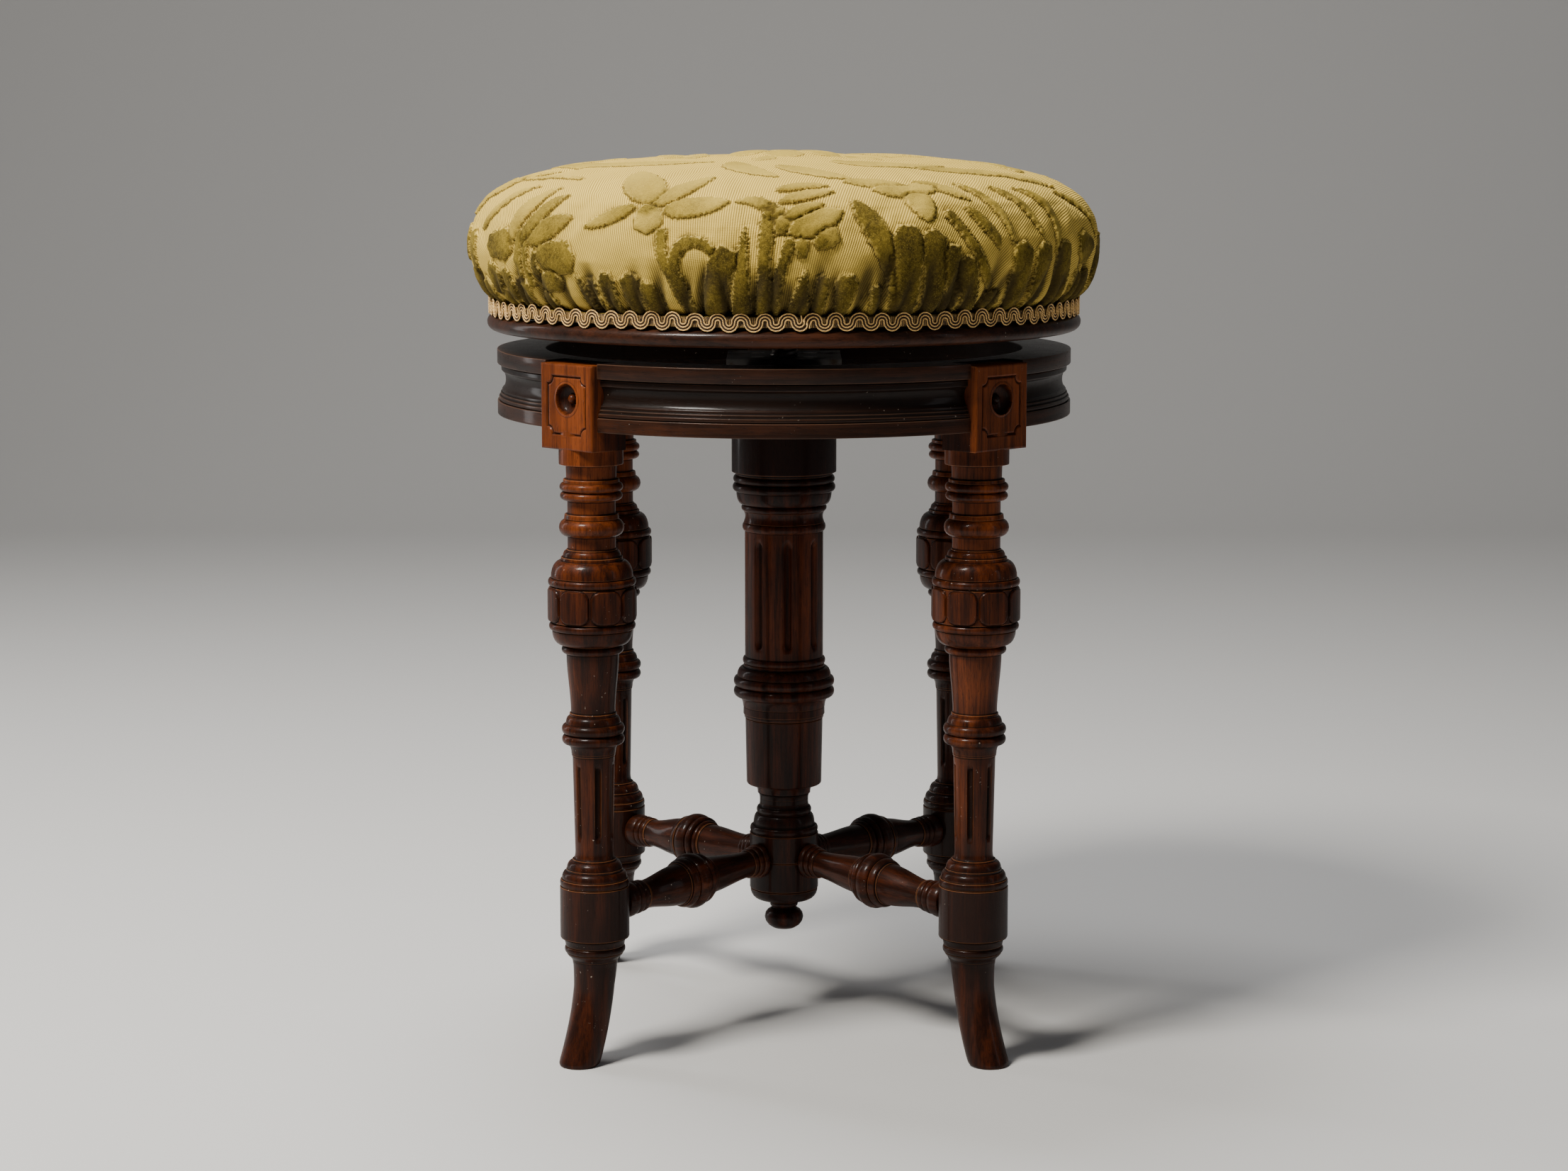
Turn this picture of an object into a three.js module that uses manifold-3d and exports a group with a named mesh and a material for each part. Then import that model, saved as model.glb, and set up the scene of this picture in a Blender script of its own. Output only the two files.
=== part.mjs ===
// Revolving piano stool: a padded seat that climbs on an iron screw, over a ring carried by four turned legs.
// Lengths are in millimetres, +Z is up, and the origin is on the floor under the middle of the stool.
import * as THREE from "three";
import { mergeVertices } from "three/addons/utils/BufferGeometryUtils.js";
import Module from "manifold-3d";

const wasm = await Module();
wasm.setup();

// Clearances that the whole stool shares
const seating = 0.3; // between pieces that are glued, screwed or laid together
const running = 0.5; // round the screw, where the seat turns
const overrun = 5; // how far a cutter passes beyond the face that it cuts

// Apron ring
const ringTop = 396.3;
const ringHeight = 37.3;
const ringOuterRadius = 166;
const ringWidth = 28;
const coveDepth = 4.8;

// Legs: how far inside the ring's face their axes stand, and their turned sizes
const legCount = 4;
const legInset = 15.5;
const bulbRadius = 24.8;
const footHeight = 57;
const footRadius = 11.6;
const footSweep = 13;
const ankleRadius = 12.5;
const ankleMouldHeight = 16.9;
const ankleBeadRadius = 17;
const collarRadius = 19.4;

// The square block at a leg's head, and the cheek of it that is let into the ring
const blockWidth = 42;
const blockDepth = 25;
const blockDrop = 9.7; // how far the block hangs below the ring
const cheekDepth = 18;
const blockProud = 2.5; // how far the block's face stands out of the ring
const roundelRadius = 8.6;
const roundelDepth = 5;
const roundelBallRadius = 3;
const roundelBallSunk = 4; // from the block's face to the ball's middle

// Leg and column flutes
const legFluteCount = 6;
const legFluteLength = 42;
const legFluteRadius = 2;

// Stretchers and the hub that they meet
const stretcherHeight = 90;
const collarAboveStretcher = 8.6;
const collarBelowStretcher = 16.1;
const stretcherRadius = 15.6;
const tenonRadius = 5;
const tenonLength = 11;
const hubRadius = 20.3;
const hubAboveStretcher = 19.8;
const hubBelowStretcher = 20;
const hubFootRadius = 9;
const hubFootDrop = 4;
const spigotRadius = 8;
const spigotLength = 14;

// Knob under the hub
const knobRadius = 11.5;
const knobHeight = 16.2;
const knobDowelRadius = 4;
const knobDowelLength = 15;

// Centre column, bored for the screw
const columnRadius = 23;
const columnBottom = 133;
const boreRadius = 12.5;
const boreFloor = 236;
const columnFluteCount = 8;
const columnFluteLength = 63;
const columnFluteRadius = 2.2;
const columnFluteTurn = THREE.MathUtils.degToRad(5);

// Bars that cross inside the ring
const barWidth = 44;
const barHeight = 28;
const barTenonWidth = 30;
const barTenonHeight = 16;
const barTenonLength = 13;

// Screw, its nut and the washer that stops it
const spindleRadius = 8;
const threadPitch = 6.35;
const turnsUp = 15;
const turnsDown = 1.5;
const stopRoom = 0.5; // what is left between the stops at either end of the travel
const nutPlateSide = 66;
const nutPlateThickness = 4;
const nutBarrelRadius = 13;
const nutBarrelLength = 26;
const washerRadius = 11.5;
const washerThickness = 4;
const spindleEndRadius = 5;
const spindleEndLength = 13;
const stopPinRadius = 1.5;
const stopPinLength = 18;

// Screws
const screwRadius = 2.4;
const screwHeadRadius = 4.6;
const screwHeadHeight = 2.6;
const nutScrewLength = 55;
const nutScrewCircle = 21.5;
const legScrewBite = 12.5; // how far a screw runs into the leg
const legScrewSpread = 13;
const flangeScrewLength = 16;
const flangeScrewCircle = 36;

// Seat: iron flange, board, stuffing, cover and braid
const seatGap = 13; // from the ring's top to the board's underside
const boardOverhang = 5.5; // beyond the ring
const boardRimHeight = 8;
const boardRimWidth = 6;
const boardHeight = 20;
const flangeRadius = 46;
const flangeThickness = 4;
const flangeBossRadius = 17;
const cushionOverhang = 11; // beyond the board
const cushionBellyAboveBoard = 49.5; // height of the widest line over the board's underside
const crownRise = 50.2; // from the widest line to the top
const coverThickness = 2.4;
const crownExponent = 2.5;
const sideSwellPower = 0.7;
const gatherCount = 20;
const gatherDepth = 1.6;
const braidThickness = 2;
const braidHeight = 10.5;

// Fineness of the turned work
const legSides = 12;
const columnSides = 16;
const stretcherSides = 10;
const ringSteps = 8;
const seatSides = 2 * gatherCount;
const screwSides = 6;
const knobSides = 12;

// Where things stand
const ringBottom = ringTop - ringHeight;
const ringInnerRadius = ringOuterRadius - ringWidth;
const legCircleRadius = ringOuterRadius - legInset;
const collarTop = stretcherHeight + collarAboveStretcher;
const collarBottom = stretcherHeight - collarBelowStretcher;
const blockFace = ringOuterRadius + blockProud;
const cheekBack = blockFace - cheekDepth;
const blockBottom = ringBottom - blockDrop;
const legScrewLength = cheekBack - ringInnerRadius + legScrewBite;
const hubTop = stretcherHeight + hubAboveStretcher;
const hubBottom = stretcherHeight - hubBelowStretcher;
const barBottom = ringBottom;
const barTop = barBottom + barHeight;
const nutTop = barTop + seating + nutPlateThickness;
const nutBottom = nutTop - nutPlateThickness - nutBarrelLength;
const boardBottom = ringTop + seatGap;
const boardRadius = ringOuterRadius + boardOverhang;
const boardRebateRadius = boardRadius - boardRimWidth;
const cushionRadius = boardRadius + cushionOverhang;
const travelUp = threadPitch * turnsUp;
const travelDown = threadPitch * turnsDown;
const washerTop = nutBottom - stopRoom - travelUp;
const washerBottom = washerTop - washerThickness;
const flangeTop = boardBottom - seating;
const bossBottom = nutTop + stopRoom + travelDown;
const cushionBelly = boardBottom + cushionBellyAboveBoard;
const cushionTop = cushionBelly + crownRise;
const braidBottom = boardBottom + boardRimHeight + seating;
const braidTop = braidBottom + braidHeight;
const coverEdgeRadius = boardRebateRadius + seating + coverThickness;
const diagonal = Math.PI / 4;

const walnut = { color: 0x4a2416, roughness: 0.42, metalness: 0 };
const darkWalnut = { color: 0x2a1712, roughness: 0.4, metalness: 0 };
const plainWood = { color: 0x6b4a30, roughness: 0.75, metalness: 0 };
const iron = { color: 0x3c3a38, roughness: 0.5, metalness: 0.9 };
const steel = { color: 0x77736c, roughness: 0.35, metalness: 1 };
const velvet = { color: 0xb9ab6c, roughness: 0.95, metalness: 0 };
const flock = { color: 0x8a7a5c, roughness: 1, metalness: 0 };
const braid = { color: 0xb78f58, roughness: 0.85, metalness: 0 };

const stool = new THREE.Group();

// A closed geometry as a solid that can be cut or joined
function solidOf(geometry) {
  const bare = new THREE.BufferGeometry();
  bare.setAttribute("position", geometry.getAttribute("position"));
  bare.setIndex(geometry.getIndex());
  const merged = mergeVertices(bare, seating / 1000);
  return new wasm.Manifold(new wasm.Mesh({
    numProp: 3,
    vertProperties: merged.attributes.position.array,
    triVerts: new Uint32Array(merged.index.array),
  }));
}

function geometryOf(solid) {
  const mesh = solid.getMesh();
  const geometry = new THREE.BufferGeometry();
  geometry.setAttribute("position", new THREE.BufferAttribute(mesh.vertProperties, mesh.numProp));
  geometry.setIndex(new THREE.BufferAttribute(mesh.triVerts, 1));
  geometry.computeVertexNormals();
  return geometry;
}

// A body with others joined to it and then others cut from it
function shaped(body, joined, cut) {
  let solid = solidOf(body);
  for (const piece of joined) solid = solid.add(solidOf(piece));
  for (const piece of cut) solid = solid.subtract(solidOf(piece));
  return geometryOf(solid);
}

function joinedTo(piece, body) {
  return geometryOf(solidOf(body).add(solidOf(piece)));
}

function addPiece(name, geometry, finish, group = stool) {
  const mesh = new THREE.Mesh(geometry, new THREE.MeshStandardMaterial(finish));
  mesh.name = name;
  group.add(mesh);
  return mesh;
}

// Outline points [radius, height] spun about the Z axis, from the bottom of the outline to its top
function spun(outline, sides) {
  const points = outline.map(([radius, height]) => new THREE.Vector2(radius, height));
  return new THREE.LatheGeometry(points, sides).rotateX(Math.PI / 2);
}

function rod(radius, bottom, top, sides) {
  return spun([[0, bottom], [radius, bottom], [radius, top], [0, top]], sides);
}

function block(width, depth, bottom, top) {
  return new THREE.BoxGeometry(width, depth, top - bottom).translate(0, 0, (bottom + top) / 2);
}

// A turner's story stick: each row is a form, its share of the height, and the radius shares at its start and end.
// A bead or a finer reed swells from the first radius to the second and back again. A flare leaves the first
// radius slowly and reaches the second quickly, and a swell does the reverse.
function turning(rows, bottom, height, radius) {
  const total = rows.reduce((sum, row) => sum + row[1], 0);
  const outline = [];
  let z = bottom;
  for (const [form, heightShare, startShare, endShare] of rows) {
    const rise = height * heightShare / total;
    const start = radius * startShare;
    const end = radius * endShare;
    const last = outline[outline.length - 1];
    if (!last || last[0] !== start) outline.push([start, z]);
    for (const [along, out] of formSteps[form]) outline.push([start + (end - start) * out, z + rise * along]);
    z += rise;
  }
  return outline;
}

// Shares of a form's height and swell, from its start to its end
const quarter = Math.SQRT1_2;
const formSteps = {
  band: [[1, 1]],
  bead: [[1 / 4, 1], [3 / 4, 1], [1, 0]],
  reed: [[1 / 2, 1], [1, 0]],
  flare: [[quarter, 1 - quarter], [1, 1]],
  swell: [[1 - quarter, quarter], [1, 1]],
};

// A countersunk screw whose head is flush with the plane z = 0, and which points down
function screwGeometry(length) {
  return spun([[0, -length], [screwRadius, -length + screwRadius], [screwRadius, -screwHeadHeight],
    [screwHeadRadius, 0], [0, 0]], screwSides);
}

// The hole that such a screw needs
function screwHole(length) {
  return spun([[0, -length - seating], [screwRadius + seating, -length - seating],
    [screwRadius + seating, -screwHeadHeight], [screwHeadRadius + seating, 0],
    [screwHeadRadius + seating, overrun], [0, overrun]], screwSides);
}

// A long round-ended cutter for one flute, standing at the given radius on the X axis
function fluteCutter(radius, width, bottom, length) {
  const top = bottom + length;
  const outline = [[0, bottom], [width, bottom + width], [width, top - width], [0, top]];
  return spun(outline, screwSides).translate(radius, 0, 0);
}

// Leg turnings, from the collar's top up to the underside of the ring
const legTurningShares = [
  ["flare", 7, 0.78, 0.72],
  ["flare", 7, 0.66, 0.56],
  ["swell", 6.5, 0.56, 0.43],
  ["band", 57.2, 0.43, 0.465],
  ["flare", 6.7, 0.465, 0.6],
  ["bead", 5.3, 0.6, 0.7],
  ["bead", 6, 0.6, 0.705],
  ["swell", 5.7, 0.6, 0.5],
  ["flare", 34, 0.5, 0.6],
  ["reed", 5, 0.6, 0.7],
  ["swell", 8.2, 0.6, 0.905],
  ["reed", 4, 0.905, 0.97],
  ["band", 20.3, 1, 1],
  ["reed", 4.5, 0.905, 0.985],
  ["flare", 10.2, 0.905, 0.7],
  ["band", 3.1, 0.7, 0.68],
  ["band", 10.4, 0.538, 0.538],
  ["bead", 10, 0.538, 0.725],
  ["band", 10, 0.538, 0.56],
  ["reed", 4.6, 0.56, 0.715],
  ["reed", 6, 0.56, 0.72],
  ["band", 8.8, 0.56, 0.56],
  ["band", 19.8, 0.725, 0.725],
];
// Where the flutes start in those turnings, and how far out their cutters stand
const legFluteSurfaceShare = 0.46;
const legFluteStartShare = 0.117;

// Ankle mouldings, from the ankle up to the collar's underside
const ankleTurningShares = [
  ["flare", 6.5, 0.74, 0.92],
  ["bead", 6.5, 0.92, 1],
  ["swell", 4, 0.95, 1.14],
];

// Foot outline as shares of its height and of its radius, from the floor up
const footOutlineShares = [[0, 0.92], [0.04, 1], [0.55, 0.98]];
const footSweepPower = 1.8;

function legOutline() {
  const foot = footOutlineShares.map(([heightShare, radiusShare]) =>
    [footRadius * radiusShare, footHeight * heightShare]);
  const ankle = turning(ankleTurningShares, footHeight, ankleMouldHeight, ankleBeadRadius);
  const upper = turning(legTurningShares, collarTop, ringBottom - seating - collarTop, bulbRadius);
  return [[0, 0], ...foot, ...ankle, ...upper, [0, ringBottom - seating]];
}

// Moves the foot's rings outward, more and more towards the floor
function sweepFoot(geometry) {
  const places = geometry.attributes.position;
  for (let i = 0; i < places.count; i++) {
    const below = 1 - places.getZ(i) / footHeight;
    if (below > 0) places.setX(i, places.getX(i) + footSweep * below ** footSweepPower);
  }
  return geometry;
}

const stretcherTenonStop = collarRadius - tenonLength - seating;

// A leg in its own frame: the turned axis is Z, and +X points away from the stool's middle
function legGeometry() {
  const turnedLeg = sweepFoot(spun(legOutline(), legSides));
  const face = blockFace - legCircleRadius;
  const lowerBlock = block(blockDepth, blockWidth, blockBottom, ringBottom - seating)
    .translate(face - blockDepth / 2, 0, 0);
  const cheek = block(cheekDepth, blockWidth, blockBottom, ringTop).translate(face - cheekDepth / 2, 0, 0);
  const carvedHeight = (blockBottom + ringTop) / 2;
  const dish = spun([[0, -roundelDepth], [roundelRadius * quarter, -roundelDepth * quarter],
    [roundelRadius, 0], [roundelRadius, overrun], [0, overrun]], legSides)
    .rotateY(Math.PI / 2).translate(face, 0, carvedHeight);
  const ball = new THREE.SphereGeometry(roundelBallRadius, screwSides, screwSides / 2)
    .rotateX(Math.PI / 2).translate(face - roundelBallSunk, 0, carvedHeight);
  const cuts = [dish, legScrewHole(-1), legScrewHole(1)];
  const fluteBottom = collarTop + (ringBottom - seating - collarTop) * legFluteStartShare;
  for (let i = 0; i < legFluteCount; i++) {
    const angle = (i + 1 / 2) * 2 * Math.PI / legFluteCount;
    cuts.push(fluteCutter(bulbRadius * legFluteSurfaceShare, legFluteRadius, fluteBottom, legFluteLength)
      .rotateZ(angle));
  }
  cuts.push(rod(tenonRadius + seating, 0, legCircleRadius, stretcherSides)
    .rotateY(-Math.PI / 2).translate(-stretcherTenonStop, 0, stretcherHeight));
  return joinedTo(ball, shaped(turnedLeg, [lowerBlock, cheek], cuts));
}

// The two screws of a leg run outward from inside the ring, one each side of the joint between two aprons
const legScrewHeight = ringTop - ringHeight / 2;

function placeLegScrew(geometry, side) {
  return geometry.rotateY(-Math.PI / 2)
    .translate(ringInnerRadius - legCircleRadius + seating, side * legScrewSpread, legScrewHeight);
}

function legScrewHole(side) {
  return placeLegScrew(screwHole(legScrewLength), side);
}

// The ring's outer face, from its bottom to its top, as shares of its height and of the cove's depth
const ringFaceShares = [
  [0, 0], [0.215, 0], [0.215, 0.25], [0.29, 0.3], [0.31, 0.5], [0.4, 0.85], [0.52, 1], [0.66, 0.95],
  [0.7, 0.5], [0.75, 0.45], [0.77, 0.2], [0.79, 0], [1, 0],
];

function apronGeometry() {
  const outline = ringFaceShares.map(([heightShare, depthShare]) =>
    new THREE.Vector2(ringOuterRadius - coveDepth * depthShare, ringBottom + ringHeight * heightShare));
  outline.push(new THREE.Vector2(ringInnerRadius, ringTop), new THREE.Vector2(ringInnerRadius, ringBottom));
  const face = new THREE.Shape(outline);
  const halfAngle = diagonal - Math.asin(seating / 2 / ringInnerRadius);
  return arcBody(face, halfAngle);
}

// A section, drawn as radius across and height up, carried round the Z axis to both sides of +X
function arcBody(face, halfAngle) {
  const outline = face.getPoints();
  const corners = outline.length;
  const positions = [];
  for (let step = 0; step <= ringSteps; step++) {
    const angle = halfAngle * (2 * step / ringSteps - 1);
    for (const point of outline)
      positions.push(point.x * Math.cos(angle), point.x * Math.sin(angle), point.y);
  }
  const faces = [];
  for (let step = 0; step < ringSteps; step++) {
    for (let k = 0; k < corners; k++) {
      const a = step * corners + k;
      const b = step * corners + (k + 1) % corners;
      faces.push(a, a + corners, b, b, a + corners, b + corners);
    }
  }
  const last = ringSteps * corners;
  for (const [a, b, c] of THREE.ShapeUtils.triangulateShape(outline, [])) {
    faces.push(a, b, c, last + c, last + b, last + a);
  }
  const geometry = new THREE.BufferGeometry();
  geometry.setAttribute("position", new THREE.Float32BufferAttribute(positions, 3));
  geometry.setIndex(faces);
  return geometry;
}

const barTenonTop = (barBottom + barTop) / 2 + barTenonHeight / 2;
const barTenonBottom = barTenonTop - barTenonHeight;
const ringInnerReach = ringInnerRadius * Math.cos(diagonal / ringSteps); // to the middle of a facet

function addAprons() {
  const housing = block(blockFace, blockWidth + 2 * seating, ringBottom - overrun, ringTop + overrun)
    .translate(cheekBack - seating + blockFace / 2, 0, 0);
  const mortise = block(2 * barTenonLength, barTenonWidth + 2 * seating, barTenonBottom - seating,
    barTenonTop + seating).translate(ringInnerReach, 0, 0);
  for (let i = 0; i < legCount; i++) {
    const cuts = [mortise];
    for (const side of [-1, 1]) {
      cuts.push(housing.clone().rotateZ(side * diagonal));
      for (const screwSide of [-1, 1])
        cuts.push(legScrewHole(screwSide).translate(legCircleRadius, 0, 0).rotateZ(side * diagonal));
    }
    const apron = addPiece(`apron_${i + 1}`, shaped(apronGeometry(), [], cuts), darkWalnut);
    apron.rotation.z = i * 2 * Math.PI / legCount;
  }
}

function addLegs() {
  const leg = legGeometry();
  for (let i = 0; i < legCount; i++) {
    const corner = new THREE.Group();
    corner.rotation.z = diagonal + i * 2 * Math.PI / legCount;
    const stand = new THREE.Group();
    stand.position.x = legCircleRadius;
    corner.add(stand);
    addPiece(`leg_${i + 1}`, leg, walnut, stand);
    for (const side of [-1, 1]) {
      const name = `leg_screw_${i + 1}_${side < 0 ? "right" : "left"}`;
      addPiece(name, placeLegScrew(screwGeometry(legScrewLength), side), steel, stand);
    }
    addPiece(`stretcher_${i + 1}`, stretcherGeometry(), walnut, corner);
    stool.add(corner);
  }
}

// Stretcher outline from the hub outwards: three end beads, a shaft that swells, the big bead, a long taper
const stretcherTurningShares = [
  ["bead", 5.5, 0.54, 0.64],
  ["reed", 5, 0.5, 0.57],
  ["flare", 26.5, 0.47, 0.66],
  ["reed", 7.5, 0.74, 0.9],
  ["bead", 7.5, 0.8, 1],
  ["flare", 7.3, 0.96, 0.86],
  ["flare", 31, 0.84, 0.52],
  ["reed", 8, 0.52, 0.6],
  ["bead", 9, 0.52, 0.64],
];
const stretcherStart = hubRadius + seating;
const stretcherEnd = legCircleRadius - collarRadius - seating;

function stretcherGeometry() {
  const turned = turning(stretcherTurningShares, stretcherStart, stretcherEnd - stretcherStart, stretcherRadius);
  const outline = [[0, stretcherStart - tenonLength], [tenonRadius, stretcherStart - tenonLength],
    [tenonRadius, stretcherStart], ...turned,
    [tenonRadius, stretcherEnd], [tenonRadius, stretcherEnd + tenonLength], [0, stretcherEnd + tenonLength]];
  return spun(outline, stretcherSides).rotateY(Math.PI / 2).translate(0, 0, stretcherHeight);
}

// Hub turnings above its cylinder, as shares of the height up to the column and of the hub's radius
const hubTurningShares = [
  ["reed", 4.4, 0.9, 0.98],
  ["flare", 6.6, 0.88, 0.72],
  ["reed", 4, 0.72, 0.79],
  ["band", 5, 0.71, 0.71],
];
const hubFootShares = [[0, 1], [0.35, 1.15], [1, 2.05]];

function addHub() {
  const neckTop = columnBottom - seating;
  const upper = turning(hubTurningShares, hubTop, neckTop - hubTop, hubRadius);
  const foot = hubFootShares.map(([heightShare, radiusShare]) =>
    [hubFootRadius * radiusShare, hubBottom - hubFootDrop + hubFootDrop * heightShare]);
  const edge = hubFootDrop;
  const outline = [[0, hubBottom - hubFootDrop], ...foot, [hubRadius, hubBottom + edge], [hubRadius, hubTop],
    ...upper, [spigotRadius, neckTop], [spigotRadius, neckTop + spigotLength], [0, neckTop + spigotLength]];
  const cuts = [rod(knobDowelRadius + seating, 0, hubBottom - hubFootDrop + knobDowelLength + 2 * seating,
    knobSides)];
  for (let i = 0; i < legCount; i++) {
    cuts.push(rod(tenonRadius + seating, stretcherStart - tenonLength - seating, hubRadius + overrun,
      stretcherSides).rotateY(Math.PI / 2).rotateZ(diagonal + i * 2 * Math.PI / legCount)
      .translate(0, 0, stretcherHeight));
  }
  addPiece("hub", shaped(spun(outline, columnSides), [], cuts), walnut);
}

// Knob outline as shares of its height and radius, from its lowest point up to its neck
const knobOutlineShares = [[0, 0], [0.03, 0.45], [0.15, 0.8], [0.35, 0.99], [0.55, 0.98], [0.72, 0.8], [0.8, 0.62],
  [0.86, 0.66], [1, 0.72]];

function addKnob() {
  const top = hubBottom - hubFootDrop - seating;
  const outline = knobOutlineShares.map(([heightShare, radiusShare]) =>
    [knobRadius * radiusShare, top - knobHeight * (1 - heightShare)]);
  outline.push([knobDowelRadius, top], [knobDowelRadius, top + knobDowelLength], [0, top + knobDowelLength]);
  addPiece("pendant_knob", spun(outline, knobSides), walnut);
}

// Column turnings from its foot to the underside of the bars, as shares of its height and shaft radius
const columnTurningShares = [
  ["swell", 5.5, 0.7, 0.96],
  ["band", 39.5, 0.96, 0.99],
  ["band", 3, 1.05, 1.05],
  ["band", 6.3, 1.06, 1.17],
  ["bead", 6, 1.18, 1.28],
  ["bead", 6.4, 1.18, 1.29],
  ["flare", 9, 1.18, 1.03],
  ["reed", 3.8, 0.99, 1.06],
  ["band", 74, 0.99, 0.99],
  ["bead", 8.5, 0.99, 1.06],
  ["reed", 4.8, 0.99, 1.085],
  ["flare", 9.4, 1.08, 1.2],
  ["bead", 8, 1.2, 1.31],
  ["band", 3.8, 1.21, 1.33],
  ["band", 34.2, 1.33, 1.33],
];
const columnFluteStartShare = 0.387;
const fluteProudShare = 0.3; // how far outside the shaft's face a cutter's axis runs, of the cutter's radius

function addColumn() {
  const headTop = barBottom - seating;
  const height = headTop - columnBottom;
  const outline = [[0, columnBottom], ...turning(columnTurningShares, columnBottom, height, columnRadius),
    [0, headTop]];
  const cuts = [
    rod(boreRadius, boreFloor, headTop + overrun, columnSides),
    rod(spigotRadius + seating, columnBottom - overrun, columnBottom + spigotLength + seating, columnSides),
  ];
  for (let i = 0; i < columnFluteCount; i++) {
    cuts.push(fluteCutter(columnRadius + columnFluteRadius * fluteProudShare, columnFluteRadius,
      columnBottom + height * columnFluteStartShare, columnFluteLength)
      .rotateZ(columnFluteTurn + i * 2 * Math.PI / columnFluteCount));
  }
  for (const hole of nutScrewHoles()) cuts.push(hole);
  addPiece("column", shaped(spun(outline, columnSides), [], cuts), walnut);
}

function nutScrewAngle(i) {
  return diagonal + i * Math.PI / 2;
}

function nutScrewHoles() {
  return [0, 1, 2, 3].map((i) => screwHole(nutScrewLength)
    .translate(nutScrewCircle, 0, nutTop).rotateZ(nutScrewAngle(i)));
}

// The two bars cross in a halving joint: the side bar lies over the front-to-back bar
function addBars() {
  const middle = (barBottom + barTop) / 2;
  const reach = ringInnerReach - seating;
  const shoulder = Math.sqrt(reach ** 2 - (barWidth / 2) ** 2);
  const cross = [rod(nutBarrelRadius + seating, barBottom - overrun, barTop + overrun, columnSides),
    ...nutScrewHoles()];
  const halving = (bottom, top) => block(barWidth + 2 * seating, barWidth + 2 * seating, bottom, top);
  const bar = () => block(2 * shoulder, barWidth, barBottom, barTop);
  const tenons = () => block(2 * (reach + barTenonLength - seating), barTenonWidth, barTenonBottom, barTenonTop);
  const side = shaped(bar(), [tenons()], [...cross, halving(barBottom - overrun, middle + seating / 2)]);
  const front = shaped(bar().rotateZ(Math.PI / 2), [tenons().rotateZ(Math.PI / 2)],
    [...cross, halving(middle - seating / 2, barTop + overrun)]);
  addPiece("bridge_bar_side", side, plainWood);
  addPiece("bridge_bar_front_back", front, plainWood);
}

function addNut() {
  const plate = block(nutPlateSide, nutPlateSide, nutTop - nutPlateThickness, nutTop);
  const barrel = rod(nutBarrelRadius, nutBottom, nutTop, columnSides);
  const bore = rod(spindleRadius + running, nutBottom - overrun, nutTop + overrun, columnSides);
  addPiece("nut", shaped(plate, [barrel], [bore, ...nutScrewHoles()]), iron);
  for (let i = 0; i < 4; i++) {
    const screw = screwGeometry(nutScrewLength).translate(nutScrewCircle, 0, nutTop).rotateZ(nutScrewAngle(i));
    addPiece(`nut_screw_${i + 1}`, screw, steel);
  }
}

function addSpindle() {
  const shoulder = washerTop + seating;
  const bottom = washerBottom - spindleEndLength;
  const outline = [[0, bottom], [spindleEndRadius, bottom], [spindleEndRadius, shoulder],
    [spindleRadius, shoulder], [spindleRadius, flangeTop - seating], [0, flangeTop - seating]];
  const pinHeight = washerBottom - seating - stopPinRadius;
  const pinHole = rod(stopPinRadius + seating / 3, -spindleRadius, spindleRadius, screwSides)
    .rotateX(Math.PI / 2).translate(0, 0, pinHeight);
  addPiece("spindle", shaped(spun(outline, columnSides), [], [pinHole]), steel);
  const pin = rod(stopPinRadius, -stopPinLength / 2, stopPinLength / 2, screwSides)
    .rotateX(Math.PI / 2).translate(0, 0, pinHeight);
  addPiece("stop_pin", pin, steel);
  const washer = spun([[spindleEndRadius + running, washerBottom], [washerRadius, washerBottom],
    [washerRadius, washerTop], [spindleEndRadius + running, washerTop],
    [spindleEndRadius + running, washerBottom]], columnSides);
  addPiece("stop_washer", washer, iron);
}

function addFlange() {
  const flangeBottom = flangeTop - flangeThickness;
  const plate = spun([[0, flangeBottom], [flangeRadius, flangeBottom], [flangeRadius, flangeTop], [0, flangeTop]],
    columnSides);
  const boss = rod(flangeBossRadius, bossBottom, flangeTop, columnSides);
  const bore = rod(spindleRadius + seating, bossBottom - overrun, flangeTop + overrun, columnSides);
  const holes = [];
  for (let i = 0; i < 4; i++) {
    const place = (geometry) => geometry.rotateX(Math.PI).translate(flangeScrewCircle, 0, flangeBottom)
      .rotateZ(i * Math.PI / 2);
    holes.push(place(screwHole(flangeScrewLength)));
    addPiece(`flange_screw_${i + 1}`, place(screwGeometry(flangeScrewLength)), steel);
  }
  addPiece("seat_flange", shaped(plate, [boss], [bore, ...holes]), iron);
  return holes;
}

function addBoard(screwHoles) {
  const rimTop = boardBottom + boardRimHeight;
  const top = boardBottom + boardHeight;
  const half = boardRimHeight / 2;
  const outline = [[0, boardBottom], [boardRadius - half, boardBottom], [boardRadius - half * (1 - quarter),
    boardBottom + half * (1 - quarter)], [boardRadius, boardBottom + half],
    [boardRadius - half * (1 - quarter), rimTop - half * (1 - quarter)], [boardRadius - half, rimTop],
    [boardRebateRadius, rimTop], [boardRebateRadius, top], [0, top]];
  addPiece("seat_board", shaped(spun(outline, seatSides), [], screwHoles), darkWalnut);
}

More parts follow.
